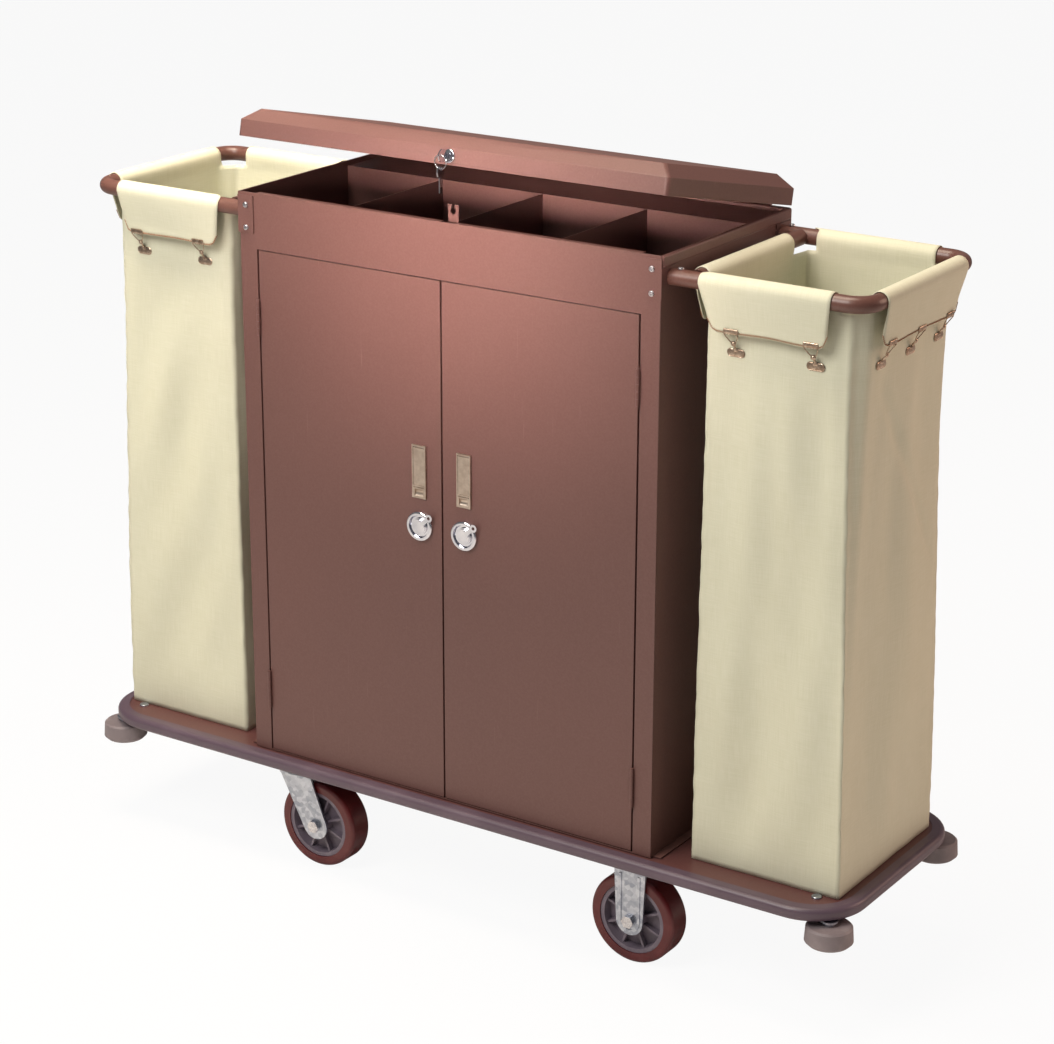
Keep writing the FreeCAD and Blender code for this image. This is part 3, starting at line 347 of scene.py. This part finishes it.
def bagMesh(name, seed, mirrored):
    cut = bagCut
    inset = cut["cornerInset"]
    xLow, xHigh, depth = cut["innerX"], cut["outerX"], cut["halfDepth"]
    span = cut["topZ"] - cut["floorZ"]
    rows = round(span / cut["row"])
    shape = bmesh.new()
    uvLayer = shape.loops.layers.uv.new("cloth")
    flat = {}

    def cornerAt(number, z):
        # Front inner, front outer, back outer, back inner. Below the hoop's bends the outer
        # corners start inside the tube and come out to full width at the floor.
        rise = smoothStep(cut["floorZ"], cut["topZ"], z)
        x, y = ((xLow, -depth), (xHigh, -depth), (xHigh, depth), (xLow, depth))[number]
        outer = number in (1, 2)
        x += -inset[0] * rise if outer else 0.004 * rise
        y += math.copysign(inset[1] * rise, -y)
        return Vector((x, y))

    panels = []
    around = 0
    for number in range(4):
        length = (xHigh - xLow) if number % 2 == 0 else 2 * depth
        count = round(length / cut["column"])
        outward = (Vector((0, -1)), Vector((1, 0)), Vector((0, 1)), Vector((-1, 0)))[number]
        line = (depth, xHigh, depth, -xLow)[number]
        slits = cut[("frontSlits", "outerSlits", "backSlits", "innerSlits")[number]]
        panels.append({"number": number, "length": length, "count": count, "outward": outward, "line": line,
                       "start": slits[0], "end": length - slits[1], "around": around})
        around += length

    def wallPoint(panel, step, z):
        u = step / panel["count"]
        first, last = cornerAt(panel["number"], z), cornerAt((panel["number"] + 1) % 4, z)
        spot = first.lerp(last, u)
        outward = panel["outward"]
        shy = panel["line"] - spot.dot(outward)
        along = u * panel["length"]
        inRun = smoothStep(0, panel["start"] + 0.012, along) \
            * smoothStep(0, panel["length"] - panel["end"] + 0.012, panel["length"] - along)
        spot = spot + outward * shy * inRun
        up = (z - cut["floorZ"]) / span
        free = smoothStep(0, 0.16, up) * smoothStep(0, 0.22, 1 - up) * math.sin(math.pi * u) ** 0.6
        own = seed + panel["number"] * 3.7
        push = free * (cut["foldDepth"] * foldField(u, z, own) - cut["sagIn"])
        if panel["number"] == 1:
            # A soft upright ridge down the middle, and a crease that drops from the front corner.
            ridge, crease = cut["ridge"], cut["crease"]
            push += ridge["rise"] * free * math.exp(-((u - ridge["middle"]) / ridge["width"]) ** 2)
            beside = (along - crease["along"]) - (crease["top"] - z) * crease["lean"]
            push -= crease["sink"] * free * math.exp(-(beside / crease["width"]) ** 2)
        if panel["number"] in (0, 2):
            slant = cut["slant"]
            wave = 2 * math.pi * (along * slant["across"] + z * slant["up"]) + own
            push += slant["rise"] * free * math.sin(wave)
        # The clasps hold the cloth at its line, so it is pulled out there and slack between them.
        held = 0
        for place in claspPlaces[panel["number"]]:
            gap = ((along - place) / cut["claspReach"]) ** 2 + ((z - cut["claspZ"]) / cut["claspReach"]) ** 2
            held = max(held, math.exp(-gap))
        push = push * (1 - held) + 0.0003 * held
        near = min(along, panel["length"] - along)
        ends = smoothStep(0, 0.03, up) * smoothStep(0, 0.05, 1 - up)
        push += 0.0022 * ends * pucker(near, z, own)
        push += 0.0011 * (1 - smoothStep(0, 0.02, up)) * noise.noise(Vector((along * 24, own, 0)))
        spot = spot + outward * push
        return Vector((spot.x, spot.y, z))

    def put(point, u, v):
        vertex = shape.verts.new(point)
        flat[vertex] = (u, v)
        return vertex

    def face(corners):
        return shape.faces.new(corners)

    # Walls, one grid for each panel; neighbours share their corner columns.
    columns = []
    for panel in panels:
        grid = []
        for step in range(panel["count"]):
            u = panel["around"] + step / panel["count"] * panel["length"]
            column = []
            for row in range(rows + 1):
                z = cut["floorZ"] + span * row / rows
                column.append(put(wallPoint(panel, step, z), u, z))
            grid.append(column)
        panel["first"] = len(columns)
        columns += grid
    total = len(columns)
    for at in range(total):
        here, there = columns[at], columns[(at + 1) % total]
        for row in range(rows):
            face((here[row], there[row], there[row + 1], here[row + 1]))

    # The square base, drawn from the lowest ring.
    wide, deep = panels[0]["count"], panels[1]["count"]
    ring = [column[0] for column in columns]
    base = [[None] * (deep + 1) for _ in range(wide + 1)]
    for i in range(wide + 1):
        for j in range(deep + 1):
            if j == 0:
                base[i][j] = ring[i]
            elif i == wide:
                base[i][j] = ring[wide + j]
            elif j == deep:
                base[i][j] = ring[(2 * wide + deep - i) % total]
            elif i == 0:
                base[i][j] = ring[(2 * wide + 2 * deep - j) % total]
            else:
                x = xLow + (xHigh - xLow) * i / wide
                y = -depth + 2 * depth * j / deep
                lift = 0.0035 * max(0, noise.noise(Vector((x * 11, y * 11, seed))) + 0.25)
                edge = min(i, wide - i, j, deep - j)
                base[i][j] = put(Vector((x, y, cut["floorZ"] + lift * smoothStep(0, 5, edge))), x, y + 3)
    for i in range(wide):
        for j in range(deep):
            face((base[i][j], base[i][j + 1], base[i + 1][j + 1], base[i + 1][j]))

    # Cuffs: each panel's middle columns go on up, over the tube and down to the hem.
    over = cut["tube"] + cut["clearance"] + cut["thickness"] / 2
    arcSteps, hangSteps, riseSteps = 12, 11, 2
    hems = []
    for panel in panels:
        tubeLine = (cut["tubeFront"], cut["tubeOuter"], cut["tubeFront"], -cut["tubeInner"])[panel["number"]]
        outward = panel["outward"]
        sideways = Vector((-outward.y, outward.x))
        own = seed + 20 + panel["number"] * 5.1
        runs = [step for step in range(panel["count"])
                if panel["start"] <= step / panel["count"] * panel["length"] <= panel["end"]]
        low, high = runs[0], runs[-1]
        previous = None
        hem = []
        for step in runs:
            column = columns[panel["first"] + step]
            along = step / panel["count"] * panel["length"]
            span01 = (step - low) / (high - low)
            middle = 1 - 2 * span01  # 1 at the first end, -1 at the last
            ground = column[rows].co.copy()
            sideCoordinate = Vector((ground.x, ground.y)).dot(sideways)
            points = []
            for lift in range(1, riseSteps + 1):
                z = cut["topZ"] + (cut["hoopZ"] - cut["topZ"]) * lift / riseSteps
                points.append((tubeLine - over, z, 0))
            for turn in range(1, arcSteps + 1):
                angle = math.pi * turn / arcSteps
                points.append((tubeLine - over * math.cos(angle), cut["hoopZ"] + over * math.sin(angle),
                               turn / arcSteps))
            ends = min(along - low / panel["count"] * panel["length"],
                       high / panel["count"] * panel["length"] - along)
            rounding = 0
            if ends < cut["hemRound"]:
                corner = cut["hemRound"]
                rounding = corner - math.sqrt(max(0, corner ** 2 - (corner - ends) ** 2))
            droop = 0.0009 * math.sin(span01 * math.pi * 3 + own) \
                + 0.0018 * noise.noise(Vector((along * 9, own, 3)))
            hemHere = cut["hemZ"] + rounding + droop
            for drop in range(1, hangSteps + 1):
                share = drop / hangSteps
                z = cut["hoopZ"] + (hemHere - cut["hoopZ"]) * share
                billow = 0.0030 * share * noise.noise(Vector((along * 13, share * 0.8, own)))
                fold = 0.0006 if hemHere + 0.009 > z else 0
                drawnIn = cut["cuffDraw"] * share ** 1.15
                points.append((tubeLine + over + billow + fold - drawnIn, z, 1))
            vertices = [column[rows]]
            run = 0
            last = column[rows].co.copy()
            for away, z, wrapped in points:
                # Past the tube's top the ends draw in towards the middle, as the cuff is cut
                # narrower at its hem.
                hang = (cut["hoopZ"] - z) / (cut["hoopZ"] - cut["hemZ"]) if wrapped == 1 else 0
                hang = min(1, max(0, hang))
                drawn = 0.010 * hang * middle * abs(middle) ** 3
                # Beside the cabinet the front and back cuffs spread past the bag over the tube.
                inner = middle if panel["number"] == 0 else -middle if panel["number"] == 2 else 0
                spread = smoothStep(0.35, 0.65, wrapped) * (1 - 0.45 * hang)
                flare = -math.copysign(cut["flare"], middle) * spread * max(0, inner) ** 3
                spot = outward * away + sideways * (sideCoordinate + drawn + flare)
                point = Vector((spot.x, spot.y, z))
                run += (point - last).length
                last = point
                vertices.append(put(point, panel["around"] + along, cut["topZ"] + run))
            if previous:
                for at in range(len(vertices) - 1):
                    face((previous[at], vertices[at], vertices[at + 1], previous[at + 1]))
            previous = vertices
            hem.append((vertices[-1].co.copy(), vertices[-2].co.copy()))
        hems.append(hem)

    shape.normal_update()
    for oneFace in shape.faces:
        for loop in oneFace.loops:
            loop[uvLayer].uv = flat[loop.vert]
    if mirrored:
        bmesh.ops.scale(shape, vec=(-1, 1, 1), verts=shape.verts)
        bmesh.ops.reverse_faces(shape, faces=shape.faces)
    for hem in hems:
        for pair in hem:
            for point in pair:
                point.x *= -1 if mirrored else 1
    return meshFrom(name, shape), hems


def finishCloth(name, mesh, body, node):
    bag = addPiece(name, mesh, "canvas", body, [node])
    wall = bag.modifiers.new("thickness", "SOLIDIFY")
    wall.thickness = bagCut["thickness"]
    wall.offset = 0
    wall.use_even_offset = True
    return bag


def plainMesh(holder):
    evaluated = holder.evaluated_get(bpy.context.evaluated_depsgraph_get())
    return bpy.data.meshes.new_from_object(evaluated)


# Geometry Nodes tree: stands a small piece at each point, turned as the point's "turn" says.
def scatterTree(name):
    tree = bpy.data.node_groups.new(name, "GeometryNodeTree")
    face = tree.interface
    face.new_socket("Geometry", in_out="INPUT", socket_type="NodeSocketGeometry")
    inputs = {
        "Pattern": face.new_socket("Pattern", in_out="INPUT", socket_type="NodeSocketObject"),
        "Size": face.new_socket("Size", in_out="INPUT", socket_type="NodeSocketFloat"),
        "Unevenness": face.new_socket("Unevenness", in_out="INPUT", socket_type="NodeSocketFloat"),
        "Seed": face.new_socket("Seed", in_out="INPUT", socket_type="NodeSocketInt"),
        "Finish": face.new_socket("Finish", in_out="INPUT", socket_type="NodeSocketMaterial"),
    }
    face.new_socket("Geometry", in_out="OUTPUT", socket_type="NodeSocketGeometry")
    start = addNode(tree, "NodeGroupInput")
    turn = addNode(tree, "GeometryNodeInputNamedAttribute", {"data_type": "FLOAT_VECTOR", "Name": "turn"})
    jitter = addNode(tree, "FunctionNodeRandomValue", {"data_type": "FLOAT_VECTOR"},
                     {"Seed": start.outputs["Seed"]})
    half = addNode(tree, "ShaderNodeVectorMath", {"operation": "SUBTRACT", 1: (0.5, 0.5, 0.5)},
                   {0: jitter.outputs[0]})
    scaled = addNode(tree, "ShaderNodeVectorMath", {"operation": "SCALE"},
                     {0: half.outputs[0], "Scale": start.outputs["Unevenness"]})
    aimed = addNode(tree, "ShaderNodeVectorMath", {"operation": "ADD"},
                    {0: turn.outputs[0], 1: scaled.outputs[0]})
    rotation = addNode(tree, "FunctionNodeEulerToRotation", links={0: aimed.outputs[0]})
    pattern = addNode(tree, "GeometryNodeObjectInfo", links={"Object": start.outputs["Pattern"]})
    placed = addNode(tree, "GeometryNodeInstanceOnPoints", links={
        "Points": start.outputs["Geometry"], "Instance": pattern.outputs["Geometry"],
        "Rotation": rotation.outputs[0], "Scale": start.outputs["Size"]})
    real = addNode(tree, "GeometryNodeRealizeInstances", links={0: placed.outputs[0]})
    finished = addNode(tree, "GeometryNodeSetMaterial",
                       links={"Geometry": real.outputs[0], "Material": start.outputs["Finish"]})
    addNode(tree, "NodeGroupOutput", links={"Geometry": finished.outputs[0]})
    return tree, {key: socket.identifier for key, socket in inputs.items()}


scatter, scatterInputs = scatterTree("smallPiecesAtPoints")


# places is a list of (point, (x, y, z) turn in radians); the result is one plain mesh.
def scatterMesh(name, places, pattern, slot, unevenness=0.0, seed=1):
    points = bpy.data.meshes.new(name + "Points")
    points.from_pydata([tuple(point) for point, _ in places], [], [])
    turns = points.attributes.new("turn", "FLOAT_VECTOR", "POINT")
    turns.data.foreach_set("vector", [value for _, turn in places for value in turn])
    holder = bpy.data.objects.new(name + "Holder", points)
    bpy.context.scene.collection.objects.link(holder)
    modifier = holder.modifiers.new("scatter", "NODES")
    modifier.node_group = scatter
    values = {"Pattern": pattern, "Size": 1.0, "Unevenness": unevenness, "Seed": seed,
              "Finish": finishes[slot]}
    for key, value in values.items():
        modifier[scatterInputs[key]] = value
    bpy.context.view_layer.update()
    mesh = plainMesh(holder)
    mesh.name = name
    holder.modifiers.clear()
    bpy.data.objects.remove(holder)
    return mesh


def patternObject(name, mesh):
    pattern = bpy.data.objects.new(name, mesh)
    bpy.context.scene.collection.objects.link(pattern)
    return pattern


# Small solids for fittings, all drawn in metres around a fitting's own origin.
def joinRings(shape, rings):
    for first, second in zip(rings, rings[1:]):
        for at in range(len(first)):
            after = (at + 1) % len(first)
            shape.faces.new((first[at], first[after], second[after], second[at]))


def addTube(shape, points, radius, sides=8):
    points = [Vector(point) for point in points]
    rings = []
    for at, point in enumerate(points):
        before, after = points[max(0, at - 1)], points[min(len(points) - 1, at + 1)]
        along = (after - before).normalized()
        across = along.cross(Vector((0, 0, 1)) if abs(along.z) < 0.9 else Vector((0, 1, 0))).normalized()
        other = along.cross(across)
        rings.append([shape.verts.new(point + radius * (math.cos(a) * across + math.sin(a) * other))
                      for a in (2 * math.pi * side / sides for side in range(sides))])
    joinRings(shape, rings)
    shape.faces.new(list(reversed(rings[0])))
    shape.faces.new(rings[-1])


# A plate from an outline in the YZ plane, with its face domed towards +X and its rim rounded.
def addPlate(shape, outline, back, thick, dome):
    centre = Vector((0, sum(p[0] for p in outline) / len(outline), sum(p[1] for p in outline) / len(outline)))
    levels = [(1.0, 0), (1.0, thick * 0.6), (0.93, thick), (0.6, thick + dome * 0.7), (0.3, thick + dome)]
    rings = []
    for share, height in levels:
        rings.append([shape.verts.new((back + height, centre.y + (y - centre.y) * share,
                                       centre.z + (z - centre.z) * share)) for y, z in outline])
    joinRings(shape, rings)
    shape.faces.new(rings[-1])
    shape.faces.new(list(reversed(rings[0])))


def roundedOutline(width, height, radius, centreZ, steps=5):
    points = []
    for sy, sz, start in ((1, 1, 0), (-1, 1, 90), (-1, -1, 180), (1, -1, 270)):
        for step in range(steps + 1):
            angle = math.radians(start + 90 * step / steps)
            points.append((sy * (width / 2 - radius) + radius * math.cos(angle),
                           centreZ + sz * (height / 2 - radius) + radius * math.sin(angle)))
    return points


def tidySolid(shape):
    bmesh.ops.recalc_face_normals(shape, faces=shape.faces)


# A suspender clip on a cuff that hangs at x = 0 and faces +X; the bag's wall is at x = -0.0176.
clipSize = {"jawWidth": 0.024, "jawTop": 1.0500, "jawLow": 1.0425, "wire": 0.0008, "rivetZ": 1.0265,
            "claspWidth": 0.029, "claspHeight": 0.0125, "claspZ": 1.0108, "wallX": -0.0176}


def clipShape():
    size = clipSize
    shape = bmesh.new()
    middle = (size["jawTop"] + size["jawLow"]) / 2
    tall = size["jawTop"] - size["jawLow"]
    addPlate(shape, roundedOutline(size["jawWidth"], tall, 0.0018, middle), 0.0013, 0.0010, 0.0006)
    # A rolled bead along the jaw's top, and its teeth below.
    half = size["jawWidth"] / 2
    addTube(shape, [(0.0021, -half + 0.001, size["jawTop"] - 0.0012), (0.0023, 0, size["jawTop"] - 0.001),
                    (0.0021, half - 0.001, size["jawTop"] - 0.0012)], 0.0010)
    for tooth in range(5):
        y = -half + 0.003 + tooth * (size["jawWidth"] - 0.006) / 4
        addTube(shape, [(0.0018, y, size["jawLow"] + 0.001), (0.0012, y, size["jawLow"] - 0.0012)], 0.0009, 6)
    wall = size["wallX"]
    rivetX = wall * 0.42
    for side in (-1, 1):
        addTube(shape, [(0.0019, side * (half - 0.0015), middle),
                        (0.0006, side * (half - 0.001), size["jawLow"] - 0.002),
                        (-0.0045, side * 0.0068, size["rivetZ"] + 0.006),
                        (rivetX, side * 0.0032, size["rivetZ"] + 0.001),
                        (rivetX - 0.001, side * 0.0012, size["rivetZ"] - 0.002)], size["wire"])
    # The small yoke with its round rivet.
    yoke = roundedOutline(0.0085, 0.0075, 0.0032, size["rivetZ"])
    addPlate(shape, yoke, rivetX - 0.0004, 0.0009, 0.0003)
    rivet = roundedOutline(0.0046, 0.0046, 0.00229, size["rivetZ"])
    addPlate(shape, rivet, rivetX + 0.0006, 0.0009, 0.0007)
    # The neck down to the clasp, its two cheeks and its oval plate.
    addTube(shape, [(rivetX, 0, size["rivetZ"] - 0.001), (wall * 0.72, 0, size["rivetZ"] - 0.007),
                    (wall + 0.0034, 0, size["claspZ"] + 0.004)], 0.0016, 10)
    clasp = roundedOutline(size["claspWidth"], size["claspHeight"], 0.0058, size["claspZ"])
    addPlate(shape, clasp, wall + 0.0010, 0.0014, 0.0008)
    lipOutline = roundedOutline(size["claspWidth"] - 0.002, size["claspHeight"] - 0.002, 0.0050, size["claspZ"])
    lip = [(wall + 0.0021, y, z) for y, z in lipOutline]
    addTube(shape, lip + [lip[0]], 0.0006, 6)
    tongue = roundedOutline(0.0085, 0.006, 0.0022, size["claspZ"] + 0.0045)
    addPlate(shape, tongue, wall + 0.0026, 0.0009, 0.0004)
    tidySolid(shape)
    return meshFrom("clipPattern", shape, smooth=False)


# A pan-headed screw that faces +X, with a cross recess.
def panScrewShape(radius, height):
    shape = bmesh.new()
    sides = 24
    levels = [(1.0, 0.0), (1.0, 0.45), (0.93, 0.75), (0.75, 0.93), (0.5, 1.0)]
    rings = [[shape.verts.new((height * level, radius * share * math.cos(a), radius * share * math.sin(a)))
              for a in (2 * math.pi * side / sides for side in range(sides))] for share, level in levels]
    # The recess: the innermost ring sinks along a cross.
    inner = []
    for side in range(sides):
        a = 2 * math.pi * side / sides
        arm = max(abs(math.cos(a)), abs(math.sin(a)))
        reach = 0.44 if arm > 0.965 else 0.16
        inner.append(shape.verts.new((height * 0.96, radius * reach * math.cos(a),
                                      radius * reach * math.sin(a))))
    deep = [shape.verts.new((height * 0.35, v.co.y * 0.8, v.co.z * 0.8)) for v in inner]
    rings += [inner, deep]
    joinRings(shape, rings)
    shape.faces.new(deep)
    shape.faces.new(list(reversed(rings[0])))
    tidySolid(shape)
    return meshFrom("panScrewPattern", shape, smooth=False)


def stitchShape(length, thread):
    shape = bmesh.new()
    addTube(shape, [(-length / 2, 0, -thread * 0.4), (-length * 0.3, 0, thread * 0.35),
                    (length * 0.3, 0, thread * 0.35), (length / 2, 0, -thread * 0.4)], thread / 2, 5)
    tidySolid(shape)
    return meshFrom("stitchPattern", shape, smooth=False)


bagNames = {"right": ("right_bag", False, 2.0), "left": ("left_bag", True, 9.0)}
hemLines = {}
for side, (node, mirrored, seed) in bagNames.items():
    mesh, hems = bagMesh(side + "CanvasBag", seed, mirrored)
    finishCloth(side + "CanvasBag", mesh, "cart", node)
    hemLines[side] = hems
print("bags made")


# Overlocking along each hem: slanting stitches, one every few millimetres. The hem is stitched, and the
# stitches' tan-brown colour is painted shadow that stands in for the thin brown shadow line beneath each hem.
def hemStitchesAndShadowLine(hems):
    places = []
    for hem in hems:
        run = 0
        for (low, high), (nextLow, _) in zip(hem, hem[1:]):
            step = nextLow - low
            along = step.normalized()
            up = (high - low).normalized()
            outward = along.cross(up).normalized()
            middle = (hem[0][0] + hem[-1][0]) / 2
            if outward.dot(Vector((middle.x - math.copysign(0.562, middle.x), middle.y, 0))) < 0:
                outward = -outward
            while run < step.length:
                point = low + along * run + (high - low) * 0.42 + outward * 0.0009
                slant = (along + 0.55 * up).normalized()
                across = outward.cross(slant).normalized()
                turn = Matrix((slant, across, outward)).transposed().to_euler()
                places.append((point, tuple(turn)))
                run += 0.0034
            run -= step.length
    return places


stitchPattern = patternObject("stitchPattern", stitchShape(0.0048, 0.0010))
for side, hems in hemLines.items():
    name = side + "HemStitches"
    stitches = scatterMesh(name, hemStitchesAndShadowLine(hems), stitchPattern, "thread", 0.10, 3 if side == "left" else 5)
    addPiece(name, stitches, "canvas", "cart")
bpy.data.objects.remove(stitchPattern)
print("stitches made")

# Clips stand where the two rows of jaws meet each cuff's hem.
clipPlaces = []
cuffFace = 0.0048
for side in (1, -1):
    for y in (-0.092, 0, 0.092):
        clipPlaces.append((Vector((side * (0.700 + cuffFace), y, 0)), (0, 0, 0 if side > 0 else math.pi)))
    for y in (-0.080, 0.080):
        clipPlaces.append((Vector((side * (0.424 - cuffFace), y, 0)), (0, 0, math.pi if side > 0 else 0)))
    for x in (0.490, 0.618):
        clipPlaces.append((Vector((side * x, -0.165 - cuffFace, 0)), (0, 0, -math.pi / 2)))
        clipPlaces.append((Vector((side * x, 0.165 + cuffFace, 0)), (0, 0, math.pi / 2)))
clipPattern = patternObject("clipPattern", clipShape())
addPiece("suspenderClips", scatterMesh("suspenderClips", clipPlaces, clipPattern, "clip_steel"),
         "clip_steel", "cart", ["bag_clips"])
bpy.data.objects.remove(clipPattern)
print("clips made")

# Pan-headed screws: two in each corner plate, and one on top of each tube.
screwHead = {"radius": 0.0046, "height": 0.0030, "plateX": 0.371, "plateY": 0.19205, "plateZ": (1.125, 1.089),
             "tubeX": 0.403, "tubeY": 0.165, "tubeZ": 1.12355}
screwPlaces = []
for sideX in (-1, 1):
    for sideY in (-1, 1):
        for z in screwHead["plateZ"]:
            spin = 0.4 * math.sin(17 * z + 5 * sideX + 3 * sideY)
            screwPlaces.append((Vector((sideX * screwHead["plateX"], sideY * screwHead["plateY"], z)),
                                (spin, 0, sideY * math.pi / 2)))
        onTube = Vector((sideX * screwHead["tubeX"], sideY * screwHead["tubeY"], screwHead["tubeZ"]))
        screwPlaces.append((onTube, (0, -math.pi / 2, 0)))
screwPattern = patternObject("panScrewPattern", panScrewShape(screwHead["radius"], screwHead["height"]))
screws = scatterMesh("cornerScrews", screwPlaces, screwPattern, slotOf["bracket_screws"])
addPiece("cornerScrews", screws, slotOf["bracket_screws"], "cart", ["bracket_screws"])
bpy.data.objects.remove(screwPattern)
print("screws made")


# Folded sheet edges catch a thin line of light, so the panels get a small rounding.
edgeSoftness = {"lid": 1.2, "left_door": 0.9, "right_door": 0.9, "cabinet_left_side": 0.9,
                "cabinet_right_side": 0.9, "cabinet_front_frame": 0.7, "cabinet_back": 0.9}
for name, width in edgeSoftness.items():
    weld = nodes[name].modifiers.new("weld", "WELD")
    weld.merge_threshold = 0.01 * millimetre
    bevel = nodes[name].modifiers.new("softEdges", "BEVEL")
    bevel.width = width * millimetre * 0.5
    bevel.segments = 2
    bevel.limit_method = "ANGLE"
    bevel.angle_limit = math.radians(40)
print("edges softened")

# The floor, the light and the camera.
studio = {"floor": "#f2f0ee", "seen": "#ffffff", "glow": 0.93, "wall": "#ffffff", "ambient": 0.17,
          "keyPower": 84, "keySize": 1.8, "keyTint": "#fffaf2", "fillPower": 44, "fillSize": 2.0,
          "fillTint": "#ffd2ba", "topPower": 60, "topSize": 1.6, "topTint": "#ffeed8",
          "trayPower": 2.2, "traySize": 0.5, "traySpread": 16, "trayTint": "#ffe9df",
          "bagPower": 1.6, "bagSize": 0.7, "bagSpread": 30, "bagTint": "#ffeed8"}


def addFloor():
    shape = bmesh.new()
    bmesh.ops.create_grid(shape, x_segments=1, y_segments=1, size=14)
    floor = bpy.data.objects.new("studioFloor", meshFrom("studioFloor", shape))
    bpy.context.scene.collection.objects.link(floor)
    material, tree, shader = newMaterial("paleFloor", studio["floor"])
    shader.inputs["Base Color"].default_value = linear(studio["floor"])
    shader.inputs["Roughness"].default_value = 0.8
    # Straight from the camera the floor glows a little, so that it stays pale to the far edge.
    glow = addNode(tree, "ShaderNodeEmission", {"Color": linear(studio["seen"]), "Strength": 1.0})
    ray = addNode(tree, "ShaderNodeLightPath")
    share = addNode(tree, "ShaderNodeMath", {"operation": "MULTIPLY", 1: studio["glow"]},
                    {0: ray.outputs["Is Camera Ray"]})
    mixed = addNode(tree, "ShaderNodeMixShader", links={0: share.outputs[0], 1: shader.outputs[0],
                                                        2: glow.outputs[0]})
    tree.links.new(mixed.outputs[0], tree.nodes["Material Output"].inputs["Surface"])
    floor.data.materials.append(material)


def addLight(kind, place, aim):
    name = kind + "Light"
    size = studio[kind + "Size"]
    light = bpy.data.lights.new(name, "AREA")
    light.energy = studio[kind + "Power"]
    light.color = linear(studio[kind + "Tint"])[:3]
    light.shape = "DISK"
    light.spread = math.radians(studio.get(kind + "Spread", 180))
    light.size = size
    lamp = bpy.data.objects.new(name, light)
    lamp.location = place
    lamp.rotation_mode = "QUATERNION"
    lamp.rotation_quaternion = (Vector(aim) - Vector(place)).to_track_quat("-Z", "Y")
    bpy.context.scene.collection.objects.link(lamp)


addFloor()
world = bpy.data.worlds.new("studioWorld")
bpy.context.scene.world = world
world.use_nodes = True
sky = world.node_tree
background = sky.nodes["Background"]
background.inputs["Color"].default_value = linear(studio["wall"])
background.inputs["Strength"].default_value = studio["ambient"]
# The backdrop shows as near white, while the light it gives is softer.
seen = addNode(sky, "ShaderNodeBackground", {"Color": linear(studio["seen"]), "Strength": 1.0})
ray = addNode(sky, "ShaderNodeLightPath")
either = addNode(sky, "ShaderNodeMixShader", links={0: ray.outputs["Is Camera Ray"], 1: background.outputs[0],
                                                    2: seen.outputs[0]})
sky.links.new(either.outputs[0], sky.nodes["World Output"].inputs["Surface"])
bpy.context.scene.view_settings.view_transform = "Standard"
addLight("key", (-0.5, -2.4, 3.0), (0.1, 0, 1.1))
addLight("fill", (3.1, 2.2, 1.9), (0.6, 0, 0.7))
addLight("top", (-0.2, -0.3, 3.3), (0, 0, 0.8))
addLight("tray", (0.3, -3.0, 1.5), (0, 0, 1.15))
addLight("bag", (-0.85, -0.45, 2.6), (-0.57, 0.03, 0.95))

viewpoint = {"azimuth": 33.61, "elevation": 19.09, "roll": 0.14, "place": (2.363, -3.509, 2.081),
             "lens": 95.16}


def addCamera():
    turn, rise, roll = (math.radians(viewpoint[key]) for key in ("azimuth", "elevation", "roll"))
    back = Vector((math.sin(turn) * math.cos(rise), -math.cos(turn) * math.cos(rise), math.sin(rise)))
    right = Vector((0, 0, 1)).cross(back).normalized()
    up = back.cross(right)
    tiltedRight = math.cos(roll) * right + math.sin(roll) * up
    tiltedUp = -math.sin(roll) * right + math.cos(roll) * up
    camera = bpy.data.objects.new("viewCamera", bpy.data.cameras.new("viewCamera"))
    camera.data.sensor_width = 36
    camera.data.lens = viewpoint["lens"]
    camera.data.clip_end = 60
    camera.matrix_world = Matrix.Translation(viewpoint["place"]) \
        @ Matrix((tiltedRight, tiltedUp, back)).transposed().to_4x4()
    bpy.context.scene.collection.objects.link(camera)
    bpy.context.scene.camera = camera


addCamera()
print("studio ready")
